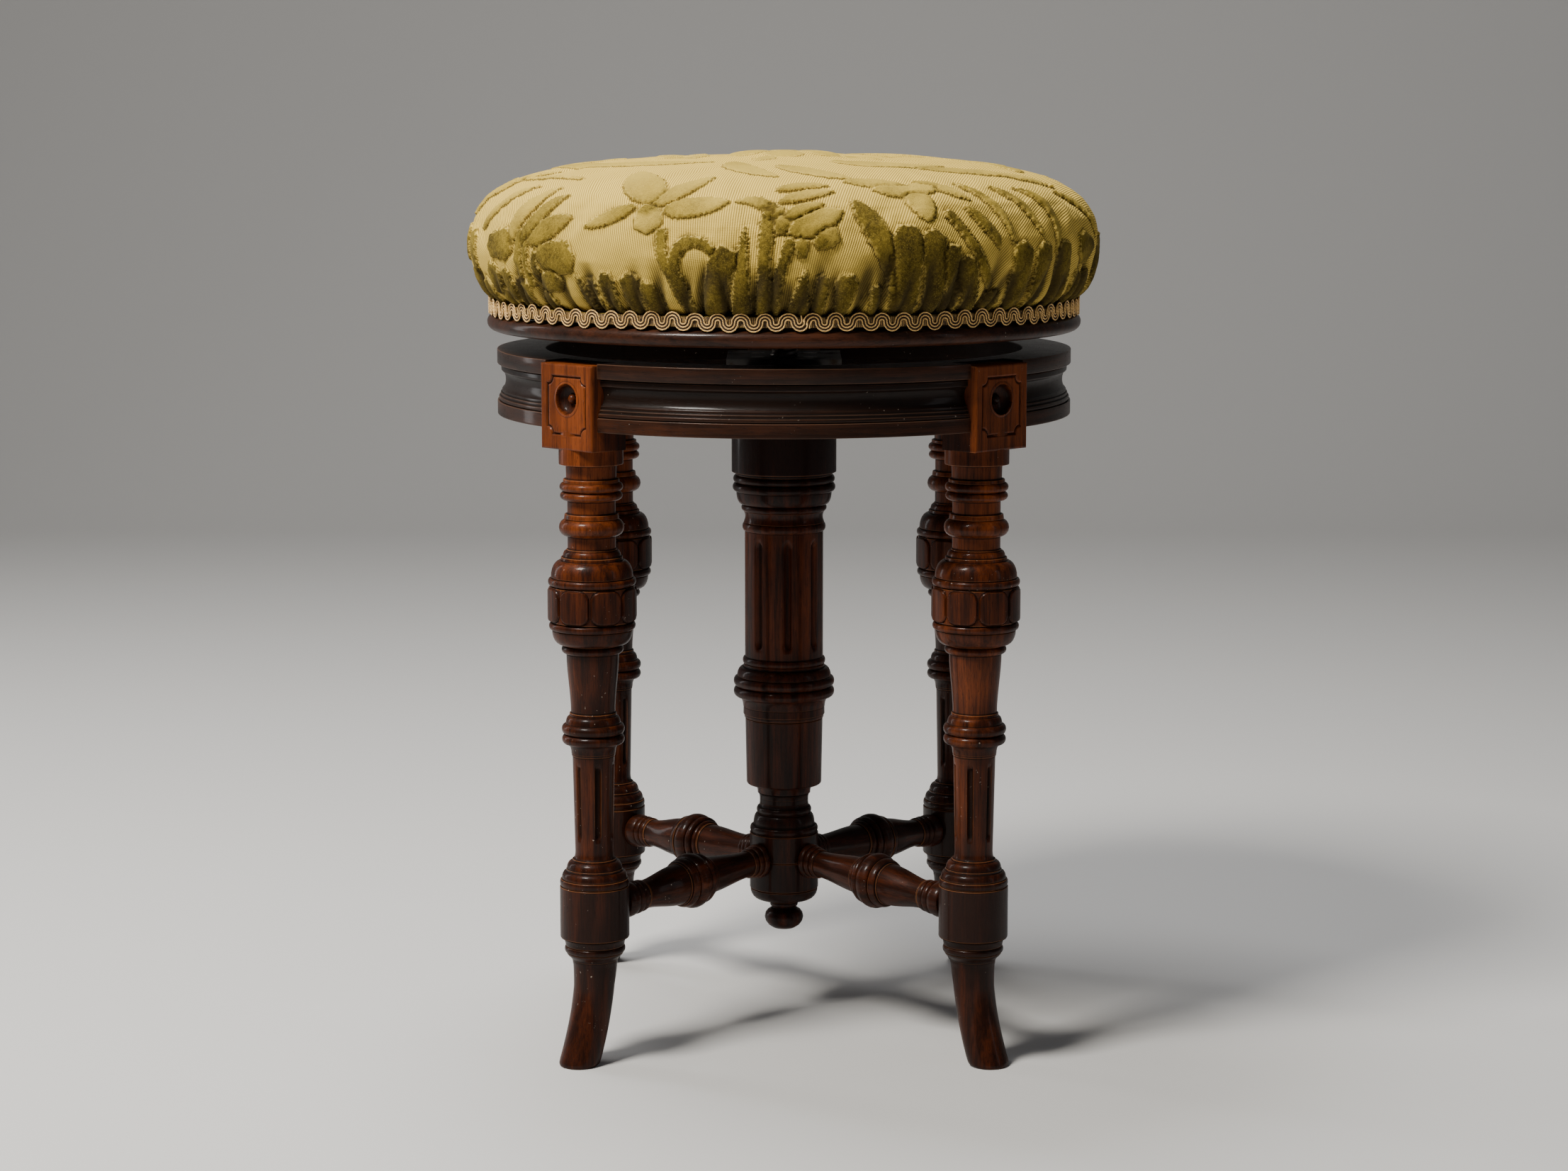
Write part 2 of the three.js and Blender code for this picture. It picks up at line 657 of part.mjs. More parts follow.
// A face of the upholstery as [radius, height], drawn in by the inset: a straight tacked edge behind the braid,
// a side that swells to the widest line, and a crown
function cushionOutline(inset, sideSteps, crownSteps) {
  const edge = coverEdgeRadius - inset;
  const belly = cushionRadius - inset;
  const outline = [[edge, braidBottom], [edge, braidTop]];
  for (let i = 1; i < sideSteps; i++) {
    const swell = Math.sin(i / sideSteps * Math.PI / 2) ** sideSwellPower;
    outline.push([edge + (belly - edge) * swell, braidTop + (cushionBelly - braidTop) * i / sideSteps]);
  }
  const rise = cushionTop - inset - cushionBelly;
  for (let i = 0; i < crownSteps; i++) {
    const angle = i / crownSteps * Math.PI / 2;
    const [along, up] = [Math.cos(angle), Math.sin(angle)].map((part) => part ** (2 / crownExponent));
    outline.push([belly * along, cushionBelly + rise * up]);
  }
  outline.push([0, cushionBelly + rise]);
  return outline;
}

// Draws the side in at each gather, most halfway between the braid and the widest line
function gather(geometry) {
  const places = geometry.attributes.position;
  for (let i = 0; i < places.count; i++) {
    const share = (cushionBelly - places.getZ(i)) / (cushionBelly - braidTop);
    if (share <= 0 || share >= 1) continue;
    const angle = Math.atan2(places.getY(i), places.getX(i));
    const radius = Math.hypot(places.getX(i), places.getY(i));
    const pull = gatherDepth * Math.sin(Math.PI * share) * (1 - Math.cos(gatherCount * angle)) / 2;
    places.setXY(i, (radius - pull) * Math.cos(angle), (radius - pull) * Math.sin(angle));
  }
  return geometry;
}

function addUpholstery() {
  const [sideSteps, crownSteps] = [3, 6];
  const outer = cushionOutline(0, sideSteps, crownSteps);
  const inner = cushionOutline(coverThickness, sideSteps, crownSteps);
  addPiece("seat_cover", gather(spun([...outer, ...inner.reverse(), outer[0]], seatSides)), velvet);

  const foot = boardBottom + boardHeight + seating;
  const stuffing = cushionOutline(coverThickness + 2 * seating, sideSteps, crownSteps)
    .filter(([, height]) => height > foot);
  addPiece("seat_stuffing", gather(spun([[0, foot], [boardRebateRadius, foot], ...stuffing], gatherCount)), flock);
}

// The braid stands on the board's rim, round the cover's tacked edge
function addBraid() {
  const inner = coverEdgeRadius + seating;
  const outer = inner + braidThickness;
  addPiece("gimp_braid", spun([[inner, braidBottom], [outer, braidBottom], [outer, braidTop], [inner, braidTop],
    [inner, braidBottom]], seatSides), braid);
}

addAprons();
addLegs();
addHub();
addKnob();
addColumn();
addBars();
addNut();
addSpindle();
addBoard(addFlange());
addUpholstery();
addBraid();

export default stool;
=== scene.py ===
"""Looks for the revolving piano stool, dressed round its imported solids. Tables are in millimetres and degrees."""
import math

import bmesh
import bpy
import numpy as np
from mathutils import Matrix, Vector


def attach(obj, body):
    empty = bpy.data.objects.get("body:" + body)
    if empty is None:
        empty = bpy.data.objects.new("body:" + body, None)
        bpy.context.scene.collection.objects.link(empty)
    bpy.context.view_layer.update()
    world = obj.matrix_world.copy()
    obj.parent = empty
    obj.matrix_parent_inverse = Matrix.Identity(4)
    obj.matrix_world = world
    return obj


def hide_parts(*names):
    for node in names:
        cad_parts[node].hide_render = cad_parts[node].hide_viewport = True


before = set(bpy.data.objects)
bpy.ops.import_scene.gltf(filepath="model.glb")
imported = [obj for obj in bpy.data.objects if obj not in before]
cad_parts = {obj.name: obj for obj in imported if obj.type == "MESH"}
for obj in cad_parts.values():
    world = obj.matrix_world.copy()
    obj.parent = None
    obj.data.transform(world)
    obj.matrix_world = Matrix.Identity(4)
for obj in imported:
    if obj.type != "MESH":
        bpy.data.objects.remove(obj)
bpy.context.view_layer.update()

MM = 0.001
RING_TOP = 396.3
RING_BOTTOM = 359.0
RING_RADIUS = 166.0
RING_INNER_RADIUS = 138.0
LEG_CIRCLE = 150.5
STRETCHER_HEIGHTS = 94.3, 88.8  # at the hub and at the leg
BOARD_BOTTOM = 409.3
BOARD_TOP = 429.3
BOARD_BEVEL = 148, 157
BRAID_MIDDLE = 421.3
BRAID_START = math.radians(4)  # where the braid's ends meet
CUSHION_BOTTOM = 423.4
CUSHION_CORE = 450.4  # the level from which the cushion's outline is measured
SCREW_PITCH = 6.35
CORNER_TURN = math.pi / 4  # the legs stand on the diagonals


# Camera and studio

def placed(name, data):
    """Puts a mesh, lamp, camera or curve into the scene."""
    thing = bpy.data.objects.new(name, data)
    bpy.context.scene.collection.objects.link(thing)
    return thing


def add_camera():
    """The photograph's camera, solved from the picture of the stool."""
    camera = bpy.data.cameras.new("photograph_camera")
    camera.sensor_width = 36
    camera.lens = 76.34
    camera.clip_end = 50
    holder = placed("photograph_camera", camera)
    holder.location = (0, -1.9306, 0.5394)
    holder.rotation_euler = (math.radians(90 - 8.354), 0, 0)
    bpy.context.scene.camera = holder


def add_softbox(name, place, aim, size, power, tint=(1, 1, 1)):
    lamp = bpy.data.lights.new(name, "AREA")
    lamp.shape = "RECTANGLE"
    lamp.size, lamp.size_y = size
    lamp.energy = power
    lamp.color = tint
    holder = placed(name, lamp)
    holder.location = place
    holder.rotation_euler = (Vector(aim) - Vector(place)).to_track_quat("-Z", "Y").to_euler()


def add_studio():
    world = bpy.data.worlds.new("studio_air")
    bpy.context.scene.world = world
    world.use_nodes = True
    air = world.node_tree.nodes["Background"]
    air.inputs["Color"].default_value = (0.86, 0.9, 1, 1)
    air.inputs["Strength"].default_value = 0.085
    middle = (0, 0, 0.3)
    add_softbox("key_softbox", (-0.88, -0.82, 1.85), (0, 0, 0.34), (0.5, 0.55), 62, (1, 0.965, 0.9))
    add_softbox("top_softbox", (-0.3, 0.35, 1.9), (0, 0, 0.4), (0.8, 0.6), 24)
    add_softbox("right_softbox", (1.9, -0.9, 0.9), middle, (0.3, 1.4), 1.6, (0.92, 0.96, 1))
    add_softbox("left_strip", (-1.7, 0.9, 0.8), middle, (0.25, 1.4), 7)

    bm = bmesh.new()
    bend = [(0, 2.2 + math.sin(turn), 1 - math.cos(turn)) for turn in np.linspace(0, math.pi / 2, 24)]
    line = [bm.verts.new(place) for place in [(0, -6, 0), *bend, (0, 3.2, 6)]]
    edges = [bm.edges.new(pair) for pair in zip(line, line[1:])]
    bmesh.ops.translate(bm, verts=line, vec=(-7, 0, 0))
    swept = bmesh.ops.extrude_edge_only(bm, edges=edges)["geom"]
    bmesh.ops.translate(bm, verts=only(bmesh.types.BMVert, swept), vec=(14, 0, 0))
    bmesh.ops.recalc_face_normals(bm, faces=bm.faces)
    floor = object_of(bm, "studio_floor")
    finish = Finish("pale_studio_paper")
    finish.set("Base Color", (0.62, 0.61, 0.595))
    finish.set("Roughness", 0.85)
    finish.wear_on(floor)


# Shader maths

class Signal:
    """A socket of a finish, so that shader maths reads like arithmetic."""

    def __init__(self, finish, socket):
        self.finish = finish
        self.socket = socket

    def math(self, operation, *others):
        return self.finish.math(operation, self, *others)

    def __add__(self, other):
        return self.math("ADD", other)

    def __sub__(self, other):
        return self.math("SUBTRACT", other)

    def __rsub__(self, other):
        return self.finish.math("SUBTRACT", other, self)

    def __mul__(self, other):
        return self.math("MULTIPLY", other)

    __radd__ = __add__
    __rmul__ = __mul__

    def between(self, low, high):
        """0 below low and 1 above high, easing from one to the other."""
        return self.finish.node("ShaderNodeMapRange", {"interpolation_type": "SMOOTHSTEP", "clamp": True},
                                {"Value": self, "From Min": low, "From Max": high})


class Finish:
    """A procedural material under construction, and the record's slot that it belongs to."""

    def __init__(self, name, slot=None):
        self.slot = slot or name
        self.colour = None
        self.material = bpy.data.materials.new(name)
        self.material.use_nodes = True
        self.tree = self.material.node_tree
        self.shader = self.tree.nodes["Principled BSDF"]

    def node(self, kind, settings=None, sockets=None, output=0):
        made = self.tree.nodes.new(kind)
        for name, value in (settings or {}).items():
            setattr(made, name, value)
        for key, value in (sockets or {}).items():
            self.feed(made.inputs[key], value)
        return Signal(self, made.outputs[output])

    def feed(self, socket, value):
        if isinstance(value, Signal):
            self.tree.links.new(value.socket, socket)
        elif socket.type == "RGBA" and len(value) == 3:
            socket.default_value = (*value, 1)
        else:
            socket.default_value = value

    def set(self, name, value):
        self.feed(self.shader.inputs[name], value)

    def math(self, operation, *values):
        return self.node("ShaderNodeMath", {"operation": operation}, dict(enumerate(values)))

    def mix(self, factor, first, second, blend="MIX"):
        return self.node("ShaderNodeMix", {"data_type": "RGBA", "blend_type": blend},
                         {0: factor, 6: first, 7: second}, output=2)

    def attribute(self, name):
        return self.node("ShaderNodeAttribute", {"attribute_name": name}, output="Fac")

    def places(self, name=None):
        if name:
            return self.node("ShaderNodeAttribute", {"attribute_name": name}, output="Vector")
        return self.node("ShaderNodeTexCoord", output="Object")

    def tint(self, factor, colour):
        """Lays a colour over what the finish has so far."""
        self.colour = self.mix(factor, self.colour, colour)

    def scaled(self, vector, scale):
        return self.node("ShaderNodeMapping", sockets={"Vector": vector, "Scale": scale})

    def noise(self, vector, scale, detail=3.0, roughness=0.55, distortion=0.0):
        return self.node("ShaderNodeTexNoise", sockets={"Vector": vector, "Scale": scale, "Detail": detail,
                         "Roughness": roughness, "Distortion": distortion})

    def wave(self, vector, scale, axis, distortion=0.0):
        return self.node("ShaderNodeTexWave", {"bands_direction": axis},
                         {"Vector": vector, "Scale": scale, "Distortion": distortion}, output="Fac")

    def bump(self, height, distance, strength=1.0):
        chained = self.shader.inputs["Normal"].links
        sockets = {"Height": height, "Distance": distance, "Strength": strength}
        if chained:
            sockets["Normal"] = Signal(self, chained[0].from_socket)
        self.set("Normal", self.node("ShaderNodeBump", sockets=sockets))

    def wear_on(self, piece):
        piece.data.materials.clear()
        piece.data.materials.append(self.material)


# Mesh work, in millimetres until a value is stored

def smoothed(mesh):
    mesh.polygons.foreach_set("use_smooth", [True] * len(mesh.polygons))
    return mesh


def object_of(bm, name):
    """Turns a bmesh into a smooth object in the scene."""
    mesh = bpy.data.meshes.new(name)
    bm.to_mesh(mesh)
    bm.free()
    return placed(name, smoothed(mesh))


def modelled(piece):
    """The mesh that a piece's modifiers or its curve make."""
    return bpy.data.meshes.new_from_object(piece.evaluated_get(bpy.context.evaluated_depsgraph_get()))


def settle(piece):
    """Makes the work of a piece's modifiers part of its mesh."""
    mesh = modelled(piece)
    piece.modifiers.clear()
    piece.data = mesh


def only(kind, parts):
    return [part for part in parts if isinstance(part, kind)]


def vectors_of(layer, field):
    flat = np.empty(len(layer) * 3, np.float32)
    layer.foreach_get(field, flat)
    return flat.reshape(-1, 3).astype(float)


def coordinates(piece):
    return vectors_of(piece.data.vertices, "co") / MM


def put_coordinates(piece, places):
    piece.data.vertices.foreach_set("co", (places * MM).astype(np.float32).ravel())
    piece.data.update()


def radii(places):
    return np.hypot(places[:, 0], places[:, 1])


def bearings(places):
    """Angles round the stool, from its front."""
    return np.arctan2(places[:, 0], -places[:, 1])


def sunk(places, cut):
    """Moves points towards the Z axis by the depth of the cut at each of them."""
    kept = (radii(places) - cut) / np.maximum(radii(places), 1e-6)
    return np.column_stack([places[:, 0] * kept, places[:, 1] * kept, places[:, 2]])


def write_attributes(piece, **named):
    """Stores numbers as they are, and places in metres."""
    for name, values in named.items():
        single = values.ndim == 1
        layer = piece.data.attributes.new(name, "FLOAT" if single else "FLOAT_VECTOR", "POINT")
        stored = values if single else values * MM
        layer.data.foreach_set("value" if single else "vector", stored.astype(np.float32).ravel())


def write_relief(piece, spread=2):
    """Marks crests above zero and hollows below zero, from the bend of the surface at each point."""
    mesh = piece.data
    places, normals = coordinates(piece), vectors_of(mesh.vertex_normals, "vector")
    ends = np.empty(len(mesh.edges) * 2, np.int32)
    mesh.edges.foreach_get("vertices", ends)
    a, b = ends.reshape(-1, 2).T
    span = places[b] - places[a]
    squared = np.maximum((span ** 2).sum(1), 1e-6)
    total = len(places)
    met = np.maximum(np.bincount(a, minlength=total) + np.bincount(b, minlength=total), 1)

    def gathered(to_a, to_b):
        return (np.bincount(a, to_a, total) + np.bincount(b, to_b, total)) / met

    bend = -gathered((span * normals[a]).sum(1) / squared, -(span * normals[b]).sum(1) / squared) * 2
    bend = np.clip(bend, -1.5, 1.5)
    for _ in range(spread):
        bend = (bend + gathered(bend[b], bend[a])) / 2
    write_attributes(piece, relief=bend)


def dressed(piece, finish, body, *stands_for, sharp=50):
    """Gives a finished mesh its relief, its material and its place in the frame."""
    if "relief" not in piece.data.attributes:
        write_relief(piece)
    piece.data.set_sharp_from_angle(angle=math.radians(sharp))
    finish.wear_on(piece)
    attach(piece, body)
    if stands_for:
        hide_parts(*stands_for)


def grained(piece, start, warmth, places=None):
    """Keeps where each point lay in the plank, with the grain along Z, and how warm the wood is there, a number that
    also carries painted light and shade.
    """
    places = coordinates(piece) if places is None else places
    write_attributes(piece, grain=places + np.array(start, float), warmth=np.zeros(len(places)) + warmth)


def outline_of(start, rows):
    """A turner's outline as [radius, height], from rows of form, height, radius at the start, radius at the end
    if that differs. A bead swells from the first radius to the second and comes back."""
    points = []
    z = start
    for form, rise, first, *last in rows:
        second = last[0] if last else first
        steps = {"to": 1, "bead": 8, "ovolo": 6, "cove": 6, "sweep": 8, "scotia": 8}[form]
        for share in np.linspace(0, 1, steps + 1):
            turn = share * math.pi / 2
            quick, slow = math.sin(turn), 1 - math.cos(turn)
            up, out = {
                "to": (share, share),
                "bead": ((1 - math.cos(2 * turn)) / 2, math.sin(2 * turn)),
                "scotia": (share, math.sin(2 * turn)),
                "ovolo": (slow, quick) if second > first else (quick, slow),
                "cove": (quick, slow) if second > first else (slow, quick),
                "sweep": (share, share * share * (3 - 2 * share)),
            }[form]
            point = (first + (second - first) * out, z + rise * up)
            if not points or math.dist(points[-1], point) > 0.05:
                points.append(point)
        z += rise
    return points


def eased(outline, reach=0.4):
    """Rounds an outline's corners a little, as sanding and old polish do."""
    points = [outline[0]]
    for before, corner, after in zip(outline, outline[1:], outline[2:]):
        here = Vector(corner)
        back, ahead = Vector(before) - here, Vector(after) - here
        if math.pi - back.angle(ahead, math.pi) < math.radians(28):
            points.append(corner)
            continue
        near, far = (min(reach, side.length * 0.42) for side in (back, ahead))
        start, end = here + back.normalized() * near, here + ahead.normalized() * far
        if back.length > 3:
            points.append(tuple(here + back.normalized() * near * 2.5))
        for share in (0, 0.35, 0.65, 1):
            points.append(tuple(start * (1 - share) ** 2 + here * 2 * share * (1 - share) + end * share ** 2))
        if ahead.length > 3:
            points.append(tuple(here + ahead.normalized() * far * 2.5))
    points.append(outline[-1])
    return points


def filled(outline, longest):
    """Adds points along an outline's long stretches, so that carving has something to move."""
    points = [outline[0]]
    for before, after in zip(outline, outline[1:]):
        count = max(1, math.ceil(math.dist(before, after) / longest))
        points += [tuple(Vector(before).lerp(Vector(after), i / count)) for i in range(1, count + 1)]
    return points


def turned(name, outline, steps):
    """Spins an outline of [radius, height] round the Z axis."""
    bm = bmesh.new()
    line = [bm.verts.new((radius * MM, 0, height * MM)) for radius, height in outline]
    edges = [bm.edges.new(pair) for pair in zip(line, line[1:])]
    bmesh.ops.spin(bm, geom=line + edges, cent=(0, 0, 0), axis=(0, 0, 1), angle=math.tau, steps=steps,
                   use_merge=True)
    bmesh.ops.remove_doubles(bm, verts=bm.verts, dist=2e-6)
    bmesh.ops.recalc_face_normals(bm, faces=bm.faces)
    return object_of(bm, name)


def quarter_turn(number, start=0.0):
    """A turn by so many right angles about the Z axis."""
    return Matrix.Rotation(start + number * math.pi / 2, 4, "Z")


def smoothstep(value, low, high):
    """0 at low and 1 at high, which may be the smaller, easing from one to the other."""
    share = np.clip((value - low) / (high - low), 0, 1)
    return share * share * (3 - 2 * share)


def flute(places, count, turn, bottom, top, width, depth):
    """Cuts round-ended flutes into a turned shaft."""
    x, y, z = places.T
    step = math.tau / count
    angle = (np.arctan2(y, x) - turn + step / 2) % step - step / 2
    along = np.maximum(np.maximum(bottom + width - z, z - (top - width)), 0)
    away = np.hypot(angle * radii(places), along) / width
    return sunk(places, depth * np.sqrt(np.clip(1 - away ** 2, 0, 1)) * smoothstep(away, 1.0, 0.82))


def rounded_box_distance(x, y, half_width, half_height, corner):
    """Signed distance to a rectangle with rounded corners, below zero inside."""
    over_x, over_y = np.abs(x) - half_width + corner, np.abs(y) - half_height + corner
    return np.hypot(np.maximum(over_x, 0), np.maximum(over_y, 0)) + np.minimum(np.maximum(over_x, over_y), 0) - corner


# Wood

def wood(name, slot, dark, middle, light, polish, worn_and_highlit, specks=0.0):
    """Old polished walnut: fine long grain with pores, a broad figure, dirt and painted shade in hollows, and crests
    lightened by wear and painted highlight. A per-point attribute says how far each place has faded to orange, and
    also carries painted light and shade."""
    finish = Finish(name, slot)
    plank = finish.places("grain")
    relief = finish.attribute("relief")
    warmth = finish.attribute("warmth")
    streaks = finish.noise(finish.scaled(plank, (1, 1, 0.05)), 300, 5, 0.62, 0.3)
    fine = finish.noise(finish.scaled(plank, (1, 1, 0.035)), 1100, 3, 0.6)
    cathedral = finish.wave(finish.scaled(plank, (1, 0.8, 0.16)), 34, "X", 7)
    broad = finish.noise(finish.scaled(plank, (1, 1, 0.3)), 30, 4, 0.6)
    smoke = finish.noise(plank, 42, 4, 0.6)
    figure = streaks * 0.5 + fine * 0.2 + cathedral * 0.1 + broad * 0.5 + warmth * 0.3 - 0.28
    finish.colour = finish.mix(figure.between(0.3, 0.66), dark, middle)
    # Orange where the wood has faded, with painted light and shade carried by the same attribute.
    fade_and_painted_light = (warmth + (broad - 0.5) * 1.3 + (streaks - 0.5) * 0.6).between(0.3, 1.1)
    finish.tint(fade_and_painted_light, light)
    grainy = (1 - fine.between(0.34, 0.54)) * 0.32 + (1 - streaks.between(0.3, 0.5)) * 0.25
    finish.tint(grainy, tuple(part * 0.5 for part in dark))
    pores = finish.noise(finish.scaled(plank, (1, 1, 0.09)), 2300, 1).between(0.68, 0.62)
    finish.tint((1 - pores) * 0.45, tuple(part * 0.25 for part in dark))
    # Painted shade in hollows, from the bend of the surface, with dirt in random smoky patches.
    hollow = (0 - relief).between(0.01, 0.3)
    grime_and_shade = hollow * 0.7 + (1 - smoke.between(0.28, 0.5)) * 0.3
    finish.tint(grime_and_shade, (0.005, 0.003, 0.002))
    # Crests lightened by wear through the polish and by painted highlight along the arrises.
    rubbed_and_highlit = (relief + (smoke - 0.5) * 0.6 + (streaks - 0.5) * 0.3).between(0.4, 1.0)
    finish.tint(rubbed_and_highlit * 0.36, worn_and_highlit)
    if specks:
        nick = finish.noise(plank, 620, 2, 0.5).between(0.71, 0.74)
        finish.tint(nick * finish.noise(plank, 34, 2).between(0.52, 0.62) * specks, (0.5, 0.42, 0.34))
    finish.set("Base Color", finish.colour)
    dull = finish.noise(plank, 90, 4, 0.6)
    finish.set("Roughness", 0.46 - polish * 0.16 + dull * 0.16 + hollow * 0.25 + (1 - pores) * 0.1)
    finish.set("Specular IOR Level", 0.09)
    finish.set("Coat Weight", polish * 0.26 * (1 - hollow * 0.8) * (0.5 + dull * 0.7))
    finish.set("Coat Roughness", 0.12)
    finish.bump(pores * 0.6 + fine * 0.4, 0.00012, 0.6)
    finish.bump(finish.noise(plank, 150, 3), 0.0004, 0.14)
    return finish


carved_walnut = wood("carved_walnut", "carved_walnut", (0.015, 0.0036, 0.0012), (0.068, 0.014, 0.003),
                     (0.235, 0.055, 0.011), 0.6, (0.34, 0.125, 0.04), 0.5)
turned_walnut = wood("turned_walnut", "turned_walnut", (0.01, 0.0022, 0.0008), (0.055, 0.0105, 0.0023),
                     (0.18, 0.038, 0.007), 0.5, (0.22, 0.08, 0.03))
ebonised_walnut = wood("ebonised_walnut", "dark_walnut", (0.011, 0.005, 0.003), (0.03, 0.011, 0.0055),
                       (0.075, 0.022, 0.0085), 0.65, (0.16, 0.085, 0.05), 0.5)


def sawn_wood():
    """Bare wood with the marks of the saw."""
    finish = Finish("sawn_wood")
    place = finish.places()
    streaks = finish.noise(place, 240, 5, 0.6)
    marks = finish.wave(place, 190, "Z", 2.0)
    finish.set("Base Color", finish.mix(streaks.between(0.35, 0.68), (0.12, 0.062, 0.03), (0.3, 0.18, 0.095)))
    finish.set("Roughness", 0.72 + streaks * 0.2)
    finish.bump(marks * 0.5 + streaks, 0.0003, 0.4)
    return finish


def metal(name, colour, rust, roughness, scale):
    """Iron or steel with rust in patches."""
    finish = Finish(name)
    place = finish.places()
    patches = finish.noise(place, scale, 5, 0.65)
    grit = finish.noise(place, scale * 14, 2)
    stain = patches.between(0.48, 0.66)
    finish.set("Base Color", finish.mix(stain, colour, rust))
    finish.set("Metallic", 1 - stain * 0.55)
    finish.set("Roughness", roughness + stain * 0.25 + grit * 0.12)
    finish.bump(patches * 0.6 + grit * 0.4, 0.0002, 0.35)
    return finish


inner_wood = sawn_wood()
dark_iron = metal("dark_iron", (0.11, 0.105, 0.1), (0.055, 0.034, 0.022), 0.42, 70)
screw_steel = metal("screw_steel", (0.36, 0.34, 0.31), (0.14, 0.08, 0.045), 0.34, 160)
spindle_steel = metal("spindle_steel", (0.24, 0.22, 0.2), (0.075, 0.045, 0.026), 0.32, 110)


# Legs

ANKLE_BOTTOM = 57.0
LEG_TOP = 358.7
FOOT_SWEEP = 13.0
BULB_RADIUS = 24.75
LEG_WARMTH_AND_LIGHT = [  # height, and how warm the wood is there: its own fading, with painted shade about the collar and partly painted light towards the block
    (0, 0.2), (30, 0.28), (55, -0.15), (75, -0.35), (100, -0.2), (125, 0.35), (175, 0.36), (190, 0.2), (215, 0.45),
    (240, 0.3), (262, 0.36), (285, 0.45), (305, 0.55), (345, 0.55), (352, 0.68), (396, 0.72),
]
PANEL_BAND = 252.4, 271.2
DISH_MIDDLE, DISH_RADIUS, BALL_RADIUS = 376.0, 8.3, 2.7
LEG_ROWS = [
    ("to", 1.9, 12.6, 12.8), ("sweep", 4.6, 12.9, 16.1), ("to", 0.3, 15.7), ("bead", 3.4, 16.2, 17.1),
    ("to", 0.4, 16.2), ("cove", 4.5, 16.6, 19.2), ("to", 0.4, 19), ("to", 28.9, 19.45), ("to", 0.5, 18.8),
    ("bead", 3.7, 18.7, 19.35), ("to", 0.4, 18.2), ("ovolo", 4.0, 18.3, 16.1), ("to", 1.4, 15.8),
    ("ovolo", 4.4, 15.5, 12.5), ("to", 1.1, 12.4, 12.3), ("cove", 4.4, 11.9, 10.65), ("to", 54.1, 10.65, 11.7),
    ("to", 1.3, 12.1, 12.2), ("cove", 5.4, 12.3, 14.8), ("bead", 5.6, 15.1, 17.45), ("bead", 5.8, 15.4, 17.55),
    ("ovolo", 4.3, 15.3, 13.3), ("to", 1.9, 13.2, 13.1), ("sweep", 33.4, 12.35, 14.6), ("bead", 4.6, 15.1, 17.25),
    ("to", 0.4, 16.6), ("ovolo", 7.9, 17.4, 22.4), ("to", 0.6, 22.2), ("bead", 3.9, 22.8, 24.05), ("to", 0.6, 23.1),
    ("to", 19.4, 24.75), ("to", 0.6, 23.1), ("bead", 4.1, 23.2, 24.4), ("to", 0.5, 22.4), ("ovolo", 9.2, 22.8, 17.5),
    ("to", 2.0, 17.2, 17.1), ("ovolo", 3.5, 16.1, 14.4), ("to", 0.8, 14.1, 14.0), ("to", 7.2, 13.33),
    ("bead", 9.6, 13.8, 18.05), ("to", 2.7, 15.2, 14.8), ("to", 7.6, 13.3), ("bead", 4.9, 14.6, 17.3),
    ("bead", 4.9, 15.2, 17.55), ("to", 1.9, 15.6, 15.5), ("to", 8.1, 13.85, 14.05), ("to", 19.2, 17.85),
]


def leg_outline():
    """The leg's outline, with its points set closer where the panels are cut."""
    foot = [(0, 0), (9.6, 0), (10.9, 0.5), (11.5, 1.6), (11.65, 4), (11.6, 14), (11.45, 30), (11.5, 44), (12.4, 56.6)]
    points = filled(eased(foot, 0.3) + fitted(LEG_ROWS, ANKLE_BOTTOM, LEG_TOP)[1:], 1.8)
    low, high = (next(i for i, point in enumerate(points) if point[1] > end and point[0] > 20) for end in PANEL_BAND)
    return points[:low] + filled(points[low:high], 0.5) + points[high:]


def carve_panels(places):
    """Cuts a line round eight flat panels on the leg's bulb, and sinks the ground between their corners."""
    x, y, z = places.T
    radius, angle = radii(places), np.arctan2(y, x)
    step = math.tau / 8
    local = angle % step - step / 2
    low, high = PANEL_BAND
    half = (high - low) / 2
    away = rounded_box_distance(local * BULB_RADIUS, z - (low + half), half_width=9.1, half_height=half - 0.1,
                                corner=5.2)
    band = (z > low - 0.9) & (z < high + 0.9) & (radius > 22)
    line = 1.4 * smoothstep(np.abs(away - 0.2), 0.8, 0.1)
    ground = 1.15 * smoothstep(away, 0.0, 0.5)
    return sunk(places, np.where(band, np.maximum(line, ground), 0))


